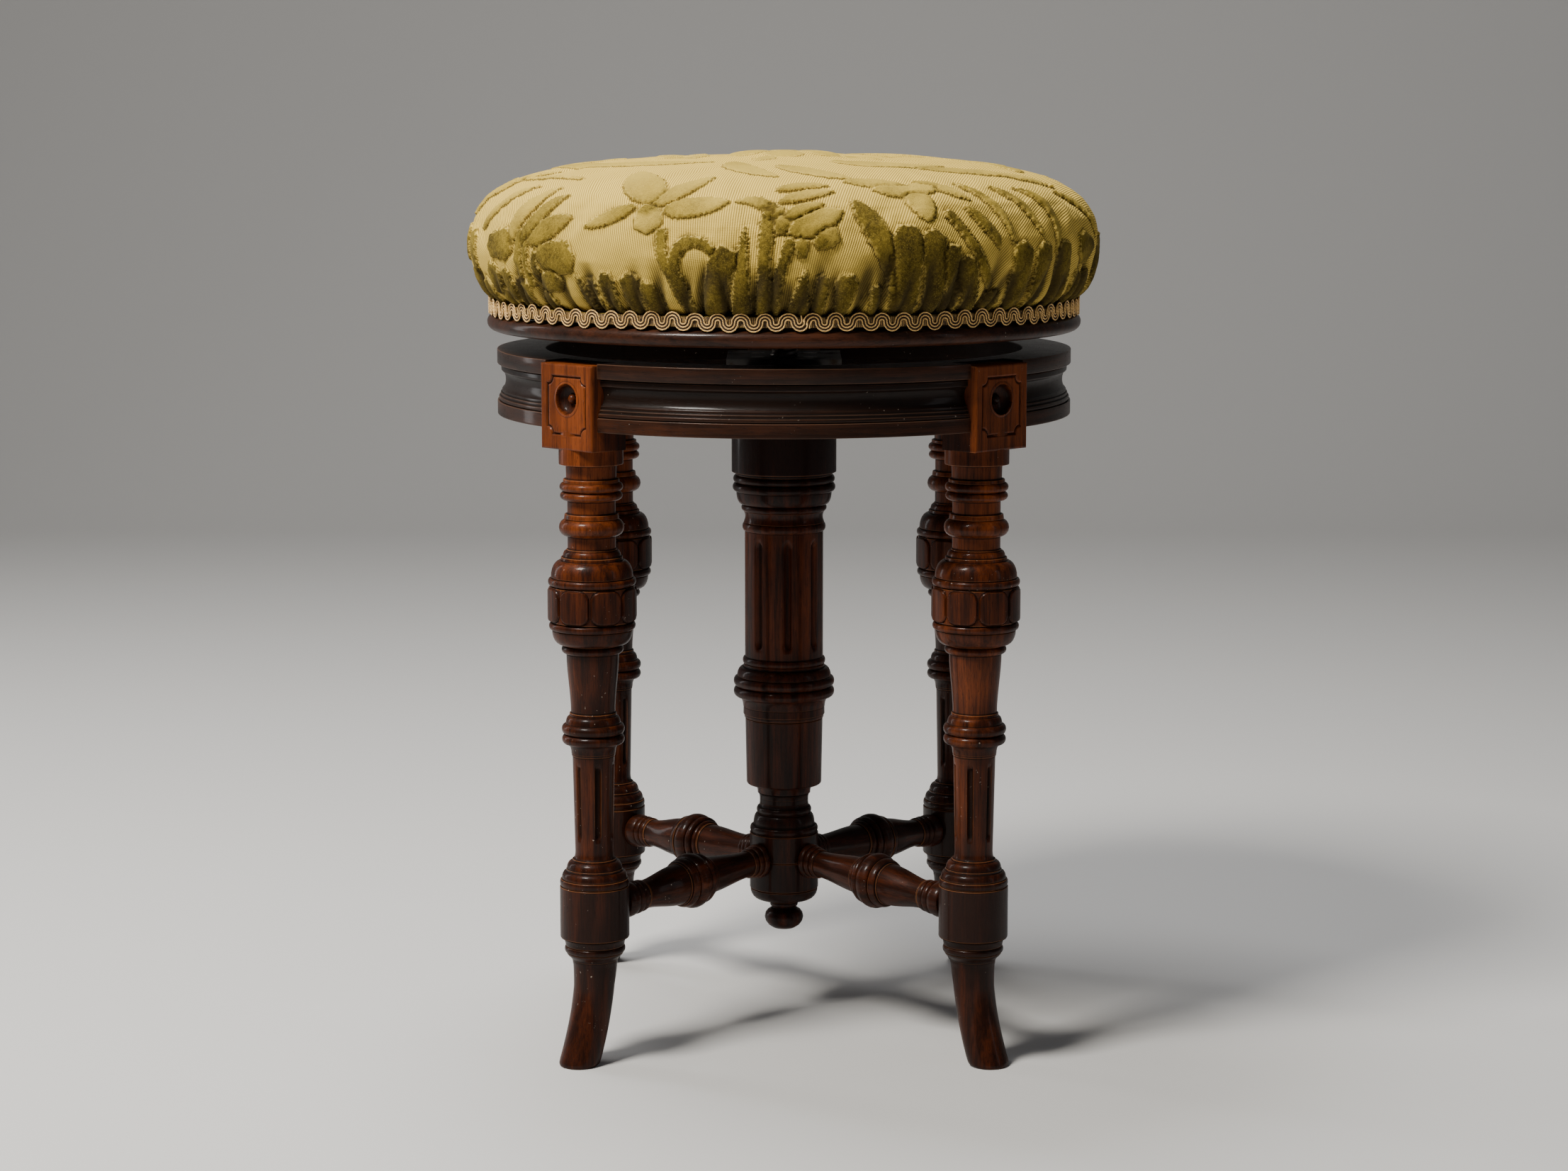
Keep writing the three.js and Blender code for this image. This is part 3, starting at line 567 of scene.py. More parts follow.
def carved_block():
    """The leg's square block: a grid whose points are moved to cut the sunk panel line, the dish and its ball."""
    low, high, face = 348.1, 395.1, 18.0
    width, cell = 42.0, 0.42
    height = high - low
    bm = bmesh.new()
    bmesh.ops.create_grid(bm, x_segments=round(width / cell), y_segments=round(height / cell), size=0.5)
    edge = [e for e in bm.edges if e.is_boundary]
    for vert in bm.verts:
        vert.co = (face, vert.co.x * width, low + (vert.co.y + 0.5) * height)
    rim = bmesh.ops.extrude_edge_only(bm, edges=edge)["geom"]
    back = only(bmesh.types.BMVert, rim)
    bmesh.ops.translate(bm, verts=back, vec=(0.1 - face, 0, 0))
    bmesh.ops.contextual_create(bm, geom=back + only(bmesh.types.BMEdge, rim))
    for vert in bmesh.ops.create_cube(bm, size=1)["verts"]:
        x, y, z = vert.co
        vert.co = (x * 7.1 - 3.4, y * (width - 0.1), low + 0.05 + (z + 0.5) * (LEG_TOP - low))
    bmesh.ops.scale(bm, verts=bm.verts, vec=(MM, MM, MM))
    bmesh.ops.recalc_face_normals(bm, faces=bm.faces)
    piece = object_of(bm, "block_draft")
    x, y, z = coordinates(piece).T
    middle, half_width, half_height, notch = 372.4, 15.4, 15.8, 4.2
    sides = rounded_box_distance(y, z - middle, half_width, half_height, corner=0.01)
    corner = notch - np.hypot(np.abs(y) - half_width, np.abs(z - middle) - half_height)
    panel = np.maximum(sides, corner)
    cut = 1.15 * smoothstep(np.abs(panel), 0.95, 0.15) + 0.3 * smoothstep(panel, 0.2, -0.8)
    from_dish = np.hypot(y, z - DISH_MIDDLE)
    dish = 5.6 * np.sqrt(np.clip(1 - (from_dish / DISH_RADIUS) ** 2, 0, 1)) ** 0.7
    rolled = 0.5 * smoothstep(np.abs(from_dish - DISH_RADIUS - 0.3), 1.3, 0)
    cut = np.maximum(cut - rolled * (from_dish > DISH_RADIUS), np.where(from_dish < DISH_RADIUS, dish + 0.3, 0))
    peg = np.sqrt(np.clip(BALL_RADIUS ** 2 - from_dish ** 2, 0, None))
    cut = np.where(from_dish < BALL_RADIUS, np.minimum(cut, 5.0 - peg), cut)
    edge_near = np.minimum(width / 2 - np.abs(y), np.minimum(z - low, high - z))
    cut = cut + 0.55 * smoothstep(edge_near, 0.7, 0.0)
    put_coordinates(piece, np.column_stack([np.where(x > face - 0.01, x - cut, x), y, z]))
    return piece


def joined(pieces, name):
    """Several meshes as the separate shells of one piece."""
    bm = bmesh.new()
    for piece in pieces:
        bm.from_mesh(piece.data)
        bpy.data.objects.remove(piece)
    return object_of(bm, name)


def add_legs():
    """Four copies of one leg: a turned, fluted and carved shaft with a swept foot, and the square block on it."""
    leg = turned("leg_draft", leg_outline(), 264)
    places = flute(coordinates(leg), count=6, turn=0, bottom=129.2, top=171.1, width=1.85, depth=1.8)
    places = carve_panels(places)
    places[:, 0] += FOOT_SWEEP * np.clip(1 - places[:, 2] / ANKLE_BOTTOM, 0, 1) ** 1.8
    put_coordinates(leg, places)
    leg = joined([leg, carved_block()], "leg_draft")
    x, y, z = coordinates(leg).T
    # The block's cheeks and its dish are less warm than its face: painted shade on the cheeks and in the dish, lifted
    # a little in the dish as a painted sheen
    cheek = (z > 348) & (np.abs(y) > 20.6) & (x < 17.4)
    dish = (x > 8) & (np.hypot(y, z - DISH_MIDDLE) < DISH_RADIUS + 0.1)
    warmth = np.where(cheek, 0.05, np.where(dish, 0.28, np.interp(z, *np.array(LEG_WARMTH_AND_LIGHT).T)))
    for i in range(4):
        copy = placed(f"carved_leg_{i + 1}", leg.data.copy())
        grained(copy, (13 + 370 * i, 21 * i, 110 * i), warmth)
        copy.data.transform(quarter_turn(i, CORNER_TURN) @ Matrix.Translation((LEG_CIRCLE * MM, 0, 0)))
        dressed(copy, carved_walnut, "frame", f"leg_{i + 1}")
    bpy.data.objects.remove(leg)


# Ring

HOUSING_SIZE, HOUSING_MIDDLE = (0.04, 0.0426, 0.06), (0.1702, 0, 0.378)  # in metres
RING_WARMTH_AND_LIGHT = (161, 165.5), (-0.5, 0.45)  # distances from the middle, and how warm the wood is there: painted shade in the cove and towards the inner edge, painted light on the outer bands
RING_FACE = [  # how far inside the ring's outer radius, and how far above its bottom
    (0, 0.0), (0, 7.9), (1.5, 7.9), (1.5, 8.3), (0.9, 8.5), (0.8, 10.3), (1.9, 10.7), (1.7, 12.3), (2.6, 12.7),
    (2.6, 14.2), (3.6, 15.0), (4.4, 16.6), (4.8, 18.8), (4.7, 21.2), (4.2, 23.2), (3.2, 24.6), (2.3, 25.1),
    (2.2, 28.2), (3.0, 28.4), (3.0, 29.0), (0.2, 29.0), (0, 29.4), (0, 37.3),
]


def add_ring():
    """Four quarter segments, each spun from the ring's section and housed for the blocks of the legs."""
    outer = [(RING_RADIUS - deep, RING_BOTTOM + up) for deep, up in RING_FACE]
    loop = eased([(RING_INNER_RADIUS + 6, RING_BOTTOM), *outer, (RING_INNER_RADIUS, RING_TOP),
                  (RING_INNER_RADIUS, RING_BOTTOM), (RING_INNER_RADIUS + 6, RING_BOTTOM)], 0.45)[:-1]
    half = CORNER_TURN - 0.15 / RING_INNER_RADIUS
    bm = bmesh.new()
    line = [bm.verts.new((radius * MM, 0, height * MM)) for radius, height in loop]
    face = bm.faces.new(line)
    bmesh.ops.rotate(bm, verts=line, cent=(0, 0, 0), matrix=Matrix.Rotation(-half, 3, "Z"))
    bmesh.ops.spin(bm, geom=[face, *face.edges, *face.verts], cent=(0, 0, 0), axis=(0, 0, 1), angle=2 * half,
                   steps=72)
    bmesh.ops.recalc_face_normals(bm, faces=bm.faces)
    quarter = object_of(bm, "ring_draft")
    for side in (-1, 1):
        bm = bmesh.new()
        bmesh.ops.create_cube(bm, size=1)
        bmesh.ops.scale(bm, verts=bm.verts, vec=HOUSING_SIZE)
        bmesh.ops.translate(bm, verts=bm.verts, vec=HOUSING_MIDDLE)
        bmesh.ops.rotate(bm, verts=bm.verts, cent=(0, 0, 0), matrix=Matrix.Rotation(side * CORNER_TURN, 3, "Z"))
        cutter = object_of(bm, "housing_draft")
        housing = quarter.modifiers.new("housing", "BOOLEAN")
        housing.object = cutter
        housing.solver = "EXACT"
        settle(quarter)
        bpy.data.objects.remove(cutter)
    places = coordinates(quarter)
    around = np.arctan2(places[:, 1], places[:, 0])
    laid = np.column_stack([places[:, 2], radii(places), around * RING_RADIUS])
    # Painted shade in the cove and towards the inner edge, painted light on the outer bands.
    warmth = np.interp(radii(places), *RING_WARMTH_AND_LIGHT)
    write_relief(quarter)
    for i in range(4):
        copy = placed(f"moulded_apron_{i + 1}", quarter.data.copy())
        grained(copy, (400 * i, 100, 230 * i), warmth, laid)
        copy.data.transform(quarter_turn(i))
        dressed(copy, ebonised_walnut, "frame", f"apron_{i + 1}", sharp=40)
    bpy.data.objects.remove(quarter)


# Turned pieces on the stool's middle line, and the stretchers

COLUMN_ENDS, HUB_ENDS = (133.0, 358.7), (66.0, 132.7)
BORE_RADIUS, BORE_FLOOR = 12.5, 236
# Heights, and how warm the wood is there, with painted shade on the hub, the knob and the column's head under the seat
COLUMN_WARMTH_AND_LIGHT = (60, 130, 134, 205, 226, 285, 315, 340), (0.05, 0, 0.25, 0.35, 0.6, 0.5, -0.05, -0.6)
COLUMN_ROWS = [
    ("cove", 4.9, 15.6, 18.0), ("ovolo", 1.6, 20.4, 22.1), ("to", 37.8, 22.1, 22.8), ("to", 0.5, 22.4),
    ("to", 2.0, 23.3, 23.4), ("to", 4.6, 24.0, 23.9), ("cove", 5.9, 24.1, 27.2), ("bead", 6.1, 27.2, 29.65),
    ("bead", 6.1, 27.3, 29.65), ("ovolo", 5.3, 27.6, 24.4), ("to", 1.8, 23.8), ("bead", 4.3, 23.1, 24.3),
    ("to", 74.2, 22.95), ("bead", 5.0, 23.0, 24.35), ("scotia", 6.6, 23.6, 22.7), ("bead", 4.1, 23.3, 24.95),
    ("ovolo", 7.4, 25.0, 27.9), ("bead", 5.1, 28.0, 30.05), ("bead", 4.5, 27.9, 29.7), ("to", 1.7, 28.4),
    ("to", 35.2, 30.6),
]
HUB_ROWS = [
    ("to", 0.5, 8.2, 8.6), ("cove", 2.0, 9.0, 14.6), ("ovolo", 6.6, 14.6, 20.0), ("to", 0.5, 19.3), ("to", 17.3, 20.3),
    ("to", 0.35, 19.9), ("to", 15.5, 20.3), ("to", 0.5, 19.2), ("bead", 4.0, 19.0, 20.1), ("ovolo", 7.0, 18.2, 16.0),
    ("to", 0.4, 15.4), ("bead", 3.6, 15.2, 16.2), ("cove", 2.4, 15.8, 14.4), ("to", 2.9, 14.35),
    ("cove", 3.2, 14.4, 15.6),
]
KNOB_POINTS = [(0, 49.8), (3.5, 49.9), (6.6, 50.7), (9.2, 52.4), (10.9, 54.7), (11.5, 57.2), (11.0, 59.6), (9.6, 61.4),
               (7.9, 62.4), (7.1, 62.8), (7.0, 63.4), (7.9, 64.0), (8.3, 64.8), (8.2, 65.7), (0, 65.7)]
STRETCHER_ROWS = [
    ("bead", 3.8, 9.0, 10.1), ("bead", 3.5, 8.4, 9.4), ("bead", 3.2, 7.8, 8.7), ("sweep", 31.9, 7.6, 10.5),
    ("to", 1.2, 11.2, 11.3), ("bead", 3.2, 10.9, 12.6), ("bead", 4.0, 12.6, 14.6), ("bead", 8.6, 13.4, 15.9),
    ("to", 0.7, 13.2), ("ovolo", 4.0, 14.2, 12.8), ("to", 1.0, 12.2), ("sweep", 27.1, 11.8, 8.1), ("to", 1.0, 8.6),
    ("bead", 3.6, 8.1, 9.2), ("bead", 4.0, 8.3, 9.6), ("bead", 8.0, 8.6, 10.1),
]


def fitted(rows, low, high):
    """A turner's outline stretched to reach from one height to another, closed on the axis at both ends."""
    points = outline_of(low, rows)
    scale = (high - low) / (points[-1][1] - low)
    points = eased([(radius, low + (height - low) * scale) for radius, height in points])
    return [(0, low), *points, (0, high)]


def add_turnings():
    """The column, bored for the screw, with the hub and the knob below it."""
    head = COLUMN_ENDS[1]
    bore = [(BORE_RADIUS, head), (BORE_RADIUS, BORE_FLOOR), (0, BORE_FLOOR)]
    column = turned("fluted_column", filled(fitted(COLUMN_ROWS, *COLUMN_ENDS)[:-1] + bore, 1.6), 160)
    places = coordinates(column)
    outside = radii(places)[:, None] > BORE_RADIUS + 1
    fluted = flute(places, count=8, turn=math.radians(5), bottom=220.4, top=283.6, width=2.3, depth=2.2)
    put_coordinates(column, np.where(outside, fluted, places))
    hub = turned("turned_hub", fitted(HUB_ROWS, *HUB_ENDS), 96)
    knob = turned("turned_pendant", KNOB_POINTS, 64)
    for number, (piece, node) in enumerate([(column, "column"), (hub, "hub"), (knob, "pendant_knob")]):
        grained(piece, (500 + 1000 * number, 300, 100), np.interp(coordinates(piece)[:, 2], *COLUMN_WARMTH_AND_LIGHT))
        dressed(piece, turned_walnut, "frame", node)


def add_stretchers():
    """Each is turned upright, then laid from the hub out to its leg, falling a little on the way."""
    start, end = 20.6, LEG_CIRCLE - 19.7
    for i in range(4):
        piece = turned(f"turned_stretcher_{i + 1}", fitted(STRETCHER_ROWS, start, end), 72)
        grained(piece, (200 + 600 * i, 700, 50 * i), 0.12)
        places = coordinates(piece)
        places[:, 0] -= np.interp(places[:, 2], (start, end), STRETCHER_HEIGHTS)
        put_coordinates(piece, places)
        piece.data.transform(quarter_turn(i, CORNER_TURN) @ Matrix.Rotation(math.pi / 2, 4, "Y"))
        dressed(piece, carved_walnut, "frame", f"stretcher_{i + 1}")


def add_board():
    """The board has a half-round rim with a shallow lip under it, and a bevel under the cushion's edge."""
    rim_middle, rim_half = 411.95, 4.65
    rim = [(171.5 - rim_half + rim_half * math.cos(a), rim_middle + rim_half * math.sin(a))
           for a in np.linspace(-math.pi / 2, math.pi / 2, 13)]
    flat = [(radius, BOARD_BOTTOM) for radius in (0, 60, 120, 156)]
    inner, outer = BOARD_BEVEL
    outline = [*flat, (160, 408.6), (163, 407.5), *rim, (165.5, rim_middle + rim_half), (165.5, 422.9), (outer, 423),
               (inner, BOARD_TOP), (0, BOARD_TOP)]
    board = turned("turned_seat_board", outline, 160)
    grained(board, (900, 200, 400), 0.6, coordinates(board)[:, [2, 1, 0]])
    dressed(board, ebonised_walnut, "seat", "seat_board")


def add_spindle():
    """The iron screw, with its rounded thread cut by moving the points of a plain spun shaft."""
    low, shoulder, high = 248.5, 261.8, 408.7
    rings = [(8.0, z) for z in np.linspace(shoulder, high, round((high - shoulder) / SCREW_PITCH * 12))]
    end = [(0, low), (4.4, low), (5.0, low + 0.8), (5.0, shoulder)]
    screw = turned("threaded_spindle", [*end, *rings, (0, high)], 36)
    places = coordinates(screw)
    x, y, z = places.T
    phase = z / SCREW_PITCH - np.arctan2(y, x) / math.tau
    shaft = (radii(places) > 7.9) & (z > shoulder + 0.3) & (z < high - 0.3)
    put_coordinates(screw, sunk(places, shaft * smoothstep(np.cos(phase * math.tau), 0.55, -0.55)))
    dressed(screw, spindle_steel, "seat", "spindle")


# Upholstery

CUSHION_PROFILE = np.array([
    (0, 506.3), (36, 505.6), (62, 505), (87, 504.2), (107, 502.4), (125.5, 499.6), (139, 497), (149, 494.3),
    (157, 491.4), (165, 486.9), (170.5, 482.6), (174.5, 477.6), (177.8, 472), (180.2, 465), (181.2, 458),
    (180.7, 451.4), (179.1, 444.9), (177, 438.4), (174.2, 432.9), (171.2, 428.2), (168.9, 425.8), (168.2, 423.4),
])
# Pile motifs by form, each as [half width on the cushion, lightness (the motif's own colour with painted light, higher
# # near the top), then angle round the seat from the front and distance from its middle over the cloth, at the start,
# the
# # bend and the tip]
PILE = {
    "petal": [
        (11.5, 0.85, -24.5, 176, -29, 163, -36, 138), (7, 0.85, -24, 181, -20, 167, -15.5, 148),
        (7.8, 0.8, -21, 184.5, -16, 181.5, -10.3, 178.5), (5.2, 0.75, -27.8, 183, -31.5, 190, -36.6, 196),
        (4.8, 0.75, -1.8, 188, -3.6, 174, -8.4, 178), (4.6, 0.85, -1, 167, 4, 160, 8.6, 162),
        (5, 0.85, -0.5, 178, 4, 171, 9.2, 169), (4.8, 0.75, 0, 190, 3, 184, 7, 180),
        (8, 0.75, 1.6, 197.5, 5.5, 191.5, 9.8, 185.5), (7.2, 0.5, 12.6, 180, 16.6, 197, 18.6, 224),
        (6.5, 0.9, 13, 155, 20, 158, 27, 166), (8, 0.9, 18.5, 166, 24, 169, 32, 164),
        (8, 0.85, 25, 172, 25.6, 180, 25.6, 191), (5, 0.85, 28, 157, 32, 165, 36, 178),
        (4.5, 0.6, 34.5, 184, 38, 195, 40, 209), (3.6, 0.75, 37, 160, 42.5, 182, 43, 206),
        (3.8, 0.75, 45, 166, 50, 184, 51.5, 204), (4.5, 0.75, 52, 168, 60, 192, 55.5, 212),
        (4, 0.8, 67, 174, 75, 188, 76, 206), (7.6, 0.65, -49.2, 205, -45, 197, -41, 191),
        (6.4, 0.65, -51.8, 207, -50, 191, -44.6, 175), (6.4, 0.85, -56, 206, -55.4, 188, -49.5, 168),
        (3.9, 0.35, -48.6, 228, -48.4, 219, -48.3, 209), (4.6, 0.85, -70, 200, -66, 184, -57.5, 167),
        (4.6, 0.9, -81, 192, -78, 165, -70, 140), (9.5, 0.9, -88, 130, -60, 118, -26, 96),
        (8.5, 0.9, -17, 99, -12, 124, -2, 144), (8, 0.9, -1, 112, 6, 134, 14, 150),
        (10, 0.9, 20, 90, 24, 113, 50, 118), (8, 0.85, 40, 124, 54, 132, 70, 168), (9, 0.9, 76, 142, 84, 122, 86, 97),
    ],
    "blunt": [
        (8.6, 0.75, -24.6, 187, -24.3, 189, -24.2, 191), (8.6, 0.3, -12.9, 250, -12, 228, -10.2, 213.5),
        (6.6, 0.65, 6.4, 203, 6.9, 202, 7.5, 200.5), (4.6, 0.6, 2.9, 209, 2.9, 207, 2.9, 205),
        (5, 0.65, -0.6, 196, -0.4, 194, -0.2, 191), (4.2, 0.65, -2.4, 190, -1.8, 188, -1, 185),
        (4.6, 0.3, 5.9, 250, 6, 238, 6.6, 225.5), (9.6, 0.3, 21.6, 250, 21.3, 226, 21.3, 203),
        (8.2, 0.28, 26.8, 250, 26.7, 226, 26.2, 204.5), (6.8, 0.3, 30.8, 250, 31, 232, 29.8, 211.5),
        (6.8, 0.3, 35, 250, 34.8, 236, 33, 218), (4, 0.3, 16.2, 250, 16.2, 240, 16, 231),
        (10, 0.5, 71, 213, 69.5, 212, 68, 211), (8.5, 0.35, 44.5, 250, 46, 228, 45.5, 213),
        (8.5, 0.4, 51.5, 250, 52, 228, 51.6, 214), (8.5, 0.4, 60, 250, 59.4, 232, 59, 214),
        (6.5, 0.35, 39.4, 252, 39.6, 246, 40, 238), (8, 0.35, 67.5, 250, 67, 240, 66, 231),
        (7, 0.4, 74, 250, 73.5, 240, 73, 231), (8, 0.35, 83, 250, 82.5, 230, 82, 212),
        (4.6, 0.3, -34.5, 250, -35.2, 238, -35.6, 229), (6, 0.25, -31.6, 250, -31.9, 236, -32, 226.5),
        (6.8, 0.3, -26.8, 250, -26.8, 236, -27.4, 227.5), (6, 0.3, -22.6, 250, -23, 240, -24.3, 231),
        (10.6, 0.5, -45.2, 213.5, -43.2, 213.5, -41.6, 214), (7.6, 0.5, -46.6, 229.5, -45.6, 228.5, -44.6, 228),
        (7, 0.45, -48.3, 250, -48, 244, -47.6, 240), (9, 0.45, -55, 250, -54.8, 242, -54.2, 234),
        (9.6, 0.45, -62.4, 209, -60.4, 208.5, -58.4, 208), (7.8, 0.4, -64, 236, -64, 231, -64, 226),
        (6, 0.4, -58, 238, -58.4, 233, -58.8, 227), (8, 0.45, -69.5, 250, -69.5, 242, -69.5, 236),
        (8, 0.45, -61.4, 250, -61.4, 246, -61.4, 243), (8, 0.45, -78, 250, -77.5, 240, -76, 230),
        (7, 0.5, -74.5, 222, -74.5, 216, -74.5, 208), (5, 0.5, -86, 218, -86, 211, -86, 204),
    ],
    "stem": [
        (4.8, 0.4, -16.2, 250, -17.6, 234, -19.2, 219), (3.8, 0.5, -19.4, 222, -21.3, 210, -21.4, 199),
        (4.2, 0.5, -18.9, 220, -18.7, 206, -16.4, 203.8), (3.4, 0.5, -17, 204, -14, 201.5, -12.2, 208.5),
        (4.3, 0.4, -3.8, 250, -3.5, 226, -3.1, 202), (4.6, 0.5, -3.1, 204, -2.9, 193, -2.3, 183),
        (3.8, 0.42, -2.2, 250, -1.6, 226, 0.9, 204), (3.6, 0.35, 18, 212, 19.2, 230, 20.4, 250),
        (3.6, 0.55, 30.5, 188, 33.5, 204, 38.4, 229), (4.4, 0.5, -54, 234, -53.2, 216, -53.3, 203),
        (3, 0.55, -50.6, 230, -51.4, 215, -50.6, 203), (2.2, 0.9, -80, 163, -66, 151, -50, 153),
    ],
    "blade": [
        (7.5, 0.35, -7.5, 250, -7.4, 226, -6.6, 193), (8.5, 0.25, 2.2, 253, 2.6, 238, 3.7, 219),
        (4.8, 0.3, -36.6, 250, -37.4, 236, -38.6, 220),
    ],
    "fan": [
        (6.8, 0.35, 9.9, 253, 10.2, 238, 10.7, 227),
    ],
}
PILE_FORMS = {  # the share of a motif's half width at each share of its length
    "petal": lambda t: np.sin(math.pi * np.clip(t, 0.03, 0.97) ** 0.8) ** 0.5,
    "blade": lambda t: (1 - t) ** 0.5 * (0.85 + 0.15 * t),
    "blunt": lambda t: 0.8 + 0.2 * t,
    "fan": lambda t: 0.4 + 0.6 * t,
    "stem": lambda t: 1 + 0 * t,
}
LONGEST_ON_CLOTH = 249.1
TACKED_BELOW = 430.9
FILLING_REACH = 6  # how far the filling may move a point
FILLING_FRAMES = 20
WARP_TURN = math.radians(10)


def lift_of(radius, height):
    """Angle above the level of the cushion's core."""
    return np.arctan2(height - CUSHION_CORE, radius)


def cloth_places(places):
    """Where each point of the cushion lies on the flat cloth: angle from the front, and distance from the middle."""
    run = np.r_[0, np.cumsum(np.hypot(*np.diff(CUSHION_PROFILE, axis=0).T))]
    distance = np.interp(-lift_of(radii(places), places[:, 2]), -lift_of(*CUSHION_PROFILE.T), run)
    return bearings(places), distance * LONGEST_ON_CLOTH / run[-1]


def pile_distance(angle, run, radius):
    """Signed distance to the raised pile, below zero inside it; how light the nearest motif's pile is, its own colour
    with painted light, lighter near the top; how far below its spine each point lies, which steers painted shadow and
    highlight; and how near each point is to the line where two motifs meet, which gets a painted shade line."""
    motifs = [(form, *row) for form, rows in PILE.items() for row in rows]
    total = len(run)
    nearest, second = np.full(total, 30.0), np.full(total, 30.0)
    owner = np.full(total, -1)
    tone, under = np.zeros(total), np.zeros(total)
    t = np.linspace(0, 1, 26)
    for turn in (0, 180):
        for number, (form, width, shade, *spots) in enumerate(motifs):
            weights = np.array([(1 - t) ** 2, 2 * t * (1 - t), t ** 2])
            aim, reach = np.radians(spots[::2] @ weights + turn), spots[1::2] @ weights
            middle = aim.mean()
            side = (angle - middle + math.pi) % math.tau - math.pi
            room = width + 6
            near = np.flatnonzero((np.abs(side) < np.ptp(aim) / 2 + 0.1 + room / np.maximum(radius, 1))
                                  & (run > reach.min() - room) & (run < reach.max() + room))
            if not len(near):
                continue
            across = (side[near, None] - (aim - middle)) * radius[near, None]
            along = run[near, None] - reach
            apart = np.hypot(across, along) - width * PILE_FORMS[form](t)
            best = apart.argmin(1)
            rows = np.arange(len(near))
            length = np.hypot(*np.gradient(np.column_stack([aim * reach.mean(), reach]), axis=0).T)
            walked = np.cumsum(length)[best]
            turned_to = np.arctan2(along[rows, best], across[rows, best])
            scallop = np.abs(np.sin(walked * 1.15 + turned_to * 3)) * (1.2 if width > 2.4 else 0.5)
            found = apart[rows, best] + scallop
            before, motif = nearest[near], 0 if form == "stem" else number + 1
            closer, other = found < before, owner[near] != motif
            rival = np.where(other, np.where(closer, before, found), 30)
            second[near] = np.minimum(second[near], rival)
            nearest[near] = np.minimum(before, found)
            owner[near[closer]] = motif
            tone[near[closer]] = (shade + 0.24 * (best / len(t) - 0.5))[closer]
            under[near[closer]] = np.sin(turned_to)[closer]
    parting = smoothstep((second - nearest) / 2, 1.1, 0.2) * smoothstep(nearest, 0.4, -0.6)
    return nearest, tone, under, parting


def rosette_distance(u, v):
    """The big flower in the middle of the seat's top, with a ring of leaves round it."""
    radius, angle = np.hypot(u, v), np.arctan2(v, u)
    petals = radius - (25 + 12 * np.abs(np.sin(angle * 3)) ** 0.7)
    gap = 2.4 - np.abs((angle * 6 / math.tau + 0.5) % 1 - 0.5) * radius * math.tau / 6
    petals = np.maximum(petals, np.where(radius > 12, gap, -5))
    eye = np.abs(radius - 6.5) - 3.2
    turn = (angle + 0.4) % (math.tau / 7) - math.tau / 14
    leaf = np.hypot((radius - 68) / 2.6, turn * radius) - 6.5
    return np.minimum(np.minimum(petals, eye), leaf) + 0.6 * np.abs(np.sin(angle * 30))


def pleats(angle, height):
    """How far the gathers draw the cloth in above the braid: leaning creases of uneven length and depth."""
    chance = np.random.default_rng(11)
    above = np.maximum(height - 425.4, 0)
    drawn = -0.7 * np.clip(1 - above / 34, 0, 1)
    around = 0.0
    while around < math.tau - 0.03:
        loose = 0.5 + 0.5 * math.sin(around + 0.35)
        length = chance.uniform(11, 22) * (1 + 0.95 * loose)
        lean = chance.uniform(-0.22, 0.22) + 0.22 * loose
        depth = chance.uniform(2.4, 6.2)
        away = (angle - around + math.pi) % math.tau - math.pi
        across = np.abs(away * 170 - lean * above) / (1.9 + above * 0.1)
        drawn += depth * np.clip(1 - above / length, 0, 1) ** 0.7 * np.exp(-across ** 2)
        around += chance.uniform(0.036, 0.095)
    return np.minimum(drawn, 6.4)


def plumped(pad):
    """Fills the pad as cloth under pressure, with its tacked edge held, and keeps each point near its drawn place."""
    start = coordinates(pad)
    held = pad.vertex_groups.new(name="tacked")
    held.add(np.flatnonzero(start[:, 2] < TACKED_BELOW).tolist(), 1.0, "REPLACE")
    cloth = pad.modifiers.new("stuffing", "CLOTH")
    cloth.settings.vertex_group_mass = "tacked"
    cloth.settings.use_pressure = True
    cloth.settings.uniform_pressure_force = 4
    cloth.settings.effector_weights.gravity = 0
    cloth.settings.quality = 4
    scene = bpy.context.scene
    for number in range(FILLING_FRAMES):
        scene.frame_set(number + 1)
    settle(pad)
    pad.vertex_groups.clear()
    scene.frame_set(1)
    moved = coordinates(pad) - start
    length = np.linalg.norm(moved, axis=1, keepdims=True)
    put_coordinates(pad, start + moved * np.minimum(1, FILLING_REACH / np.maximum(length, 1e-6)))


def filled_pad():
    """The pad before its cover is worked: a little smaller than drawn, remeshed, filled as cloth and made finer."""
    inset, half_width, tall = 3.0, 181, 81
    drawn = [(max(radius - inset * (radius / half_width), 0), height - inset * (height - CUSHION_BOTTOM) / tall)
             for radius, height in CUSHION_PROFILE]
    inner, outer = BOARD_BEVEL
    under = [(outer, CUSHION_BOTTOM), (inner, BOARD_TOP + 0.5), (0, BOARD_TOP + 0.5)]
    pad = turned("velvet_cushion", drawn + under, 96)
    remesh = pad.modifiers.new("cloth grid", "REMESH")
    remesh.mode = "VOXEL"
    remesh.voxel_size = 0.0044
    settle(pad)
    plumped(pad)
    fineness = pad.modifiers.new("fineness", "SUBSURF")
    fineness.levels = fineness.render_levels = 2
    settle(pad)
    return pad


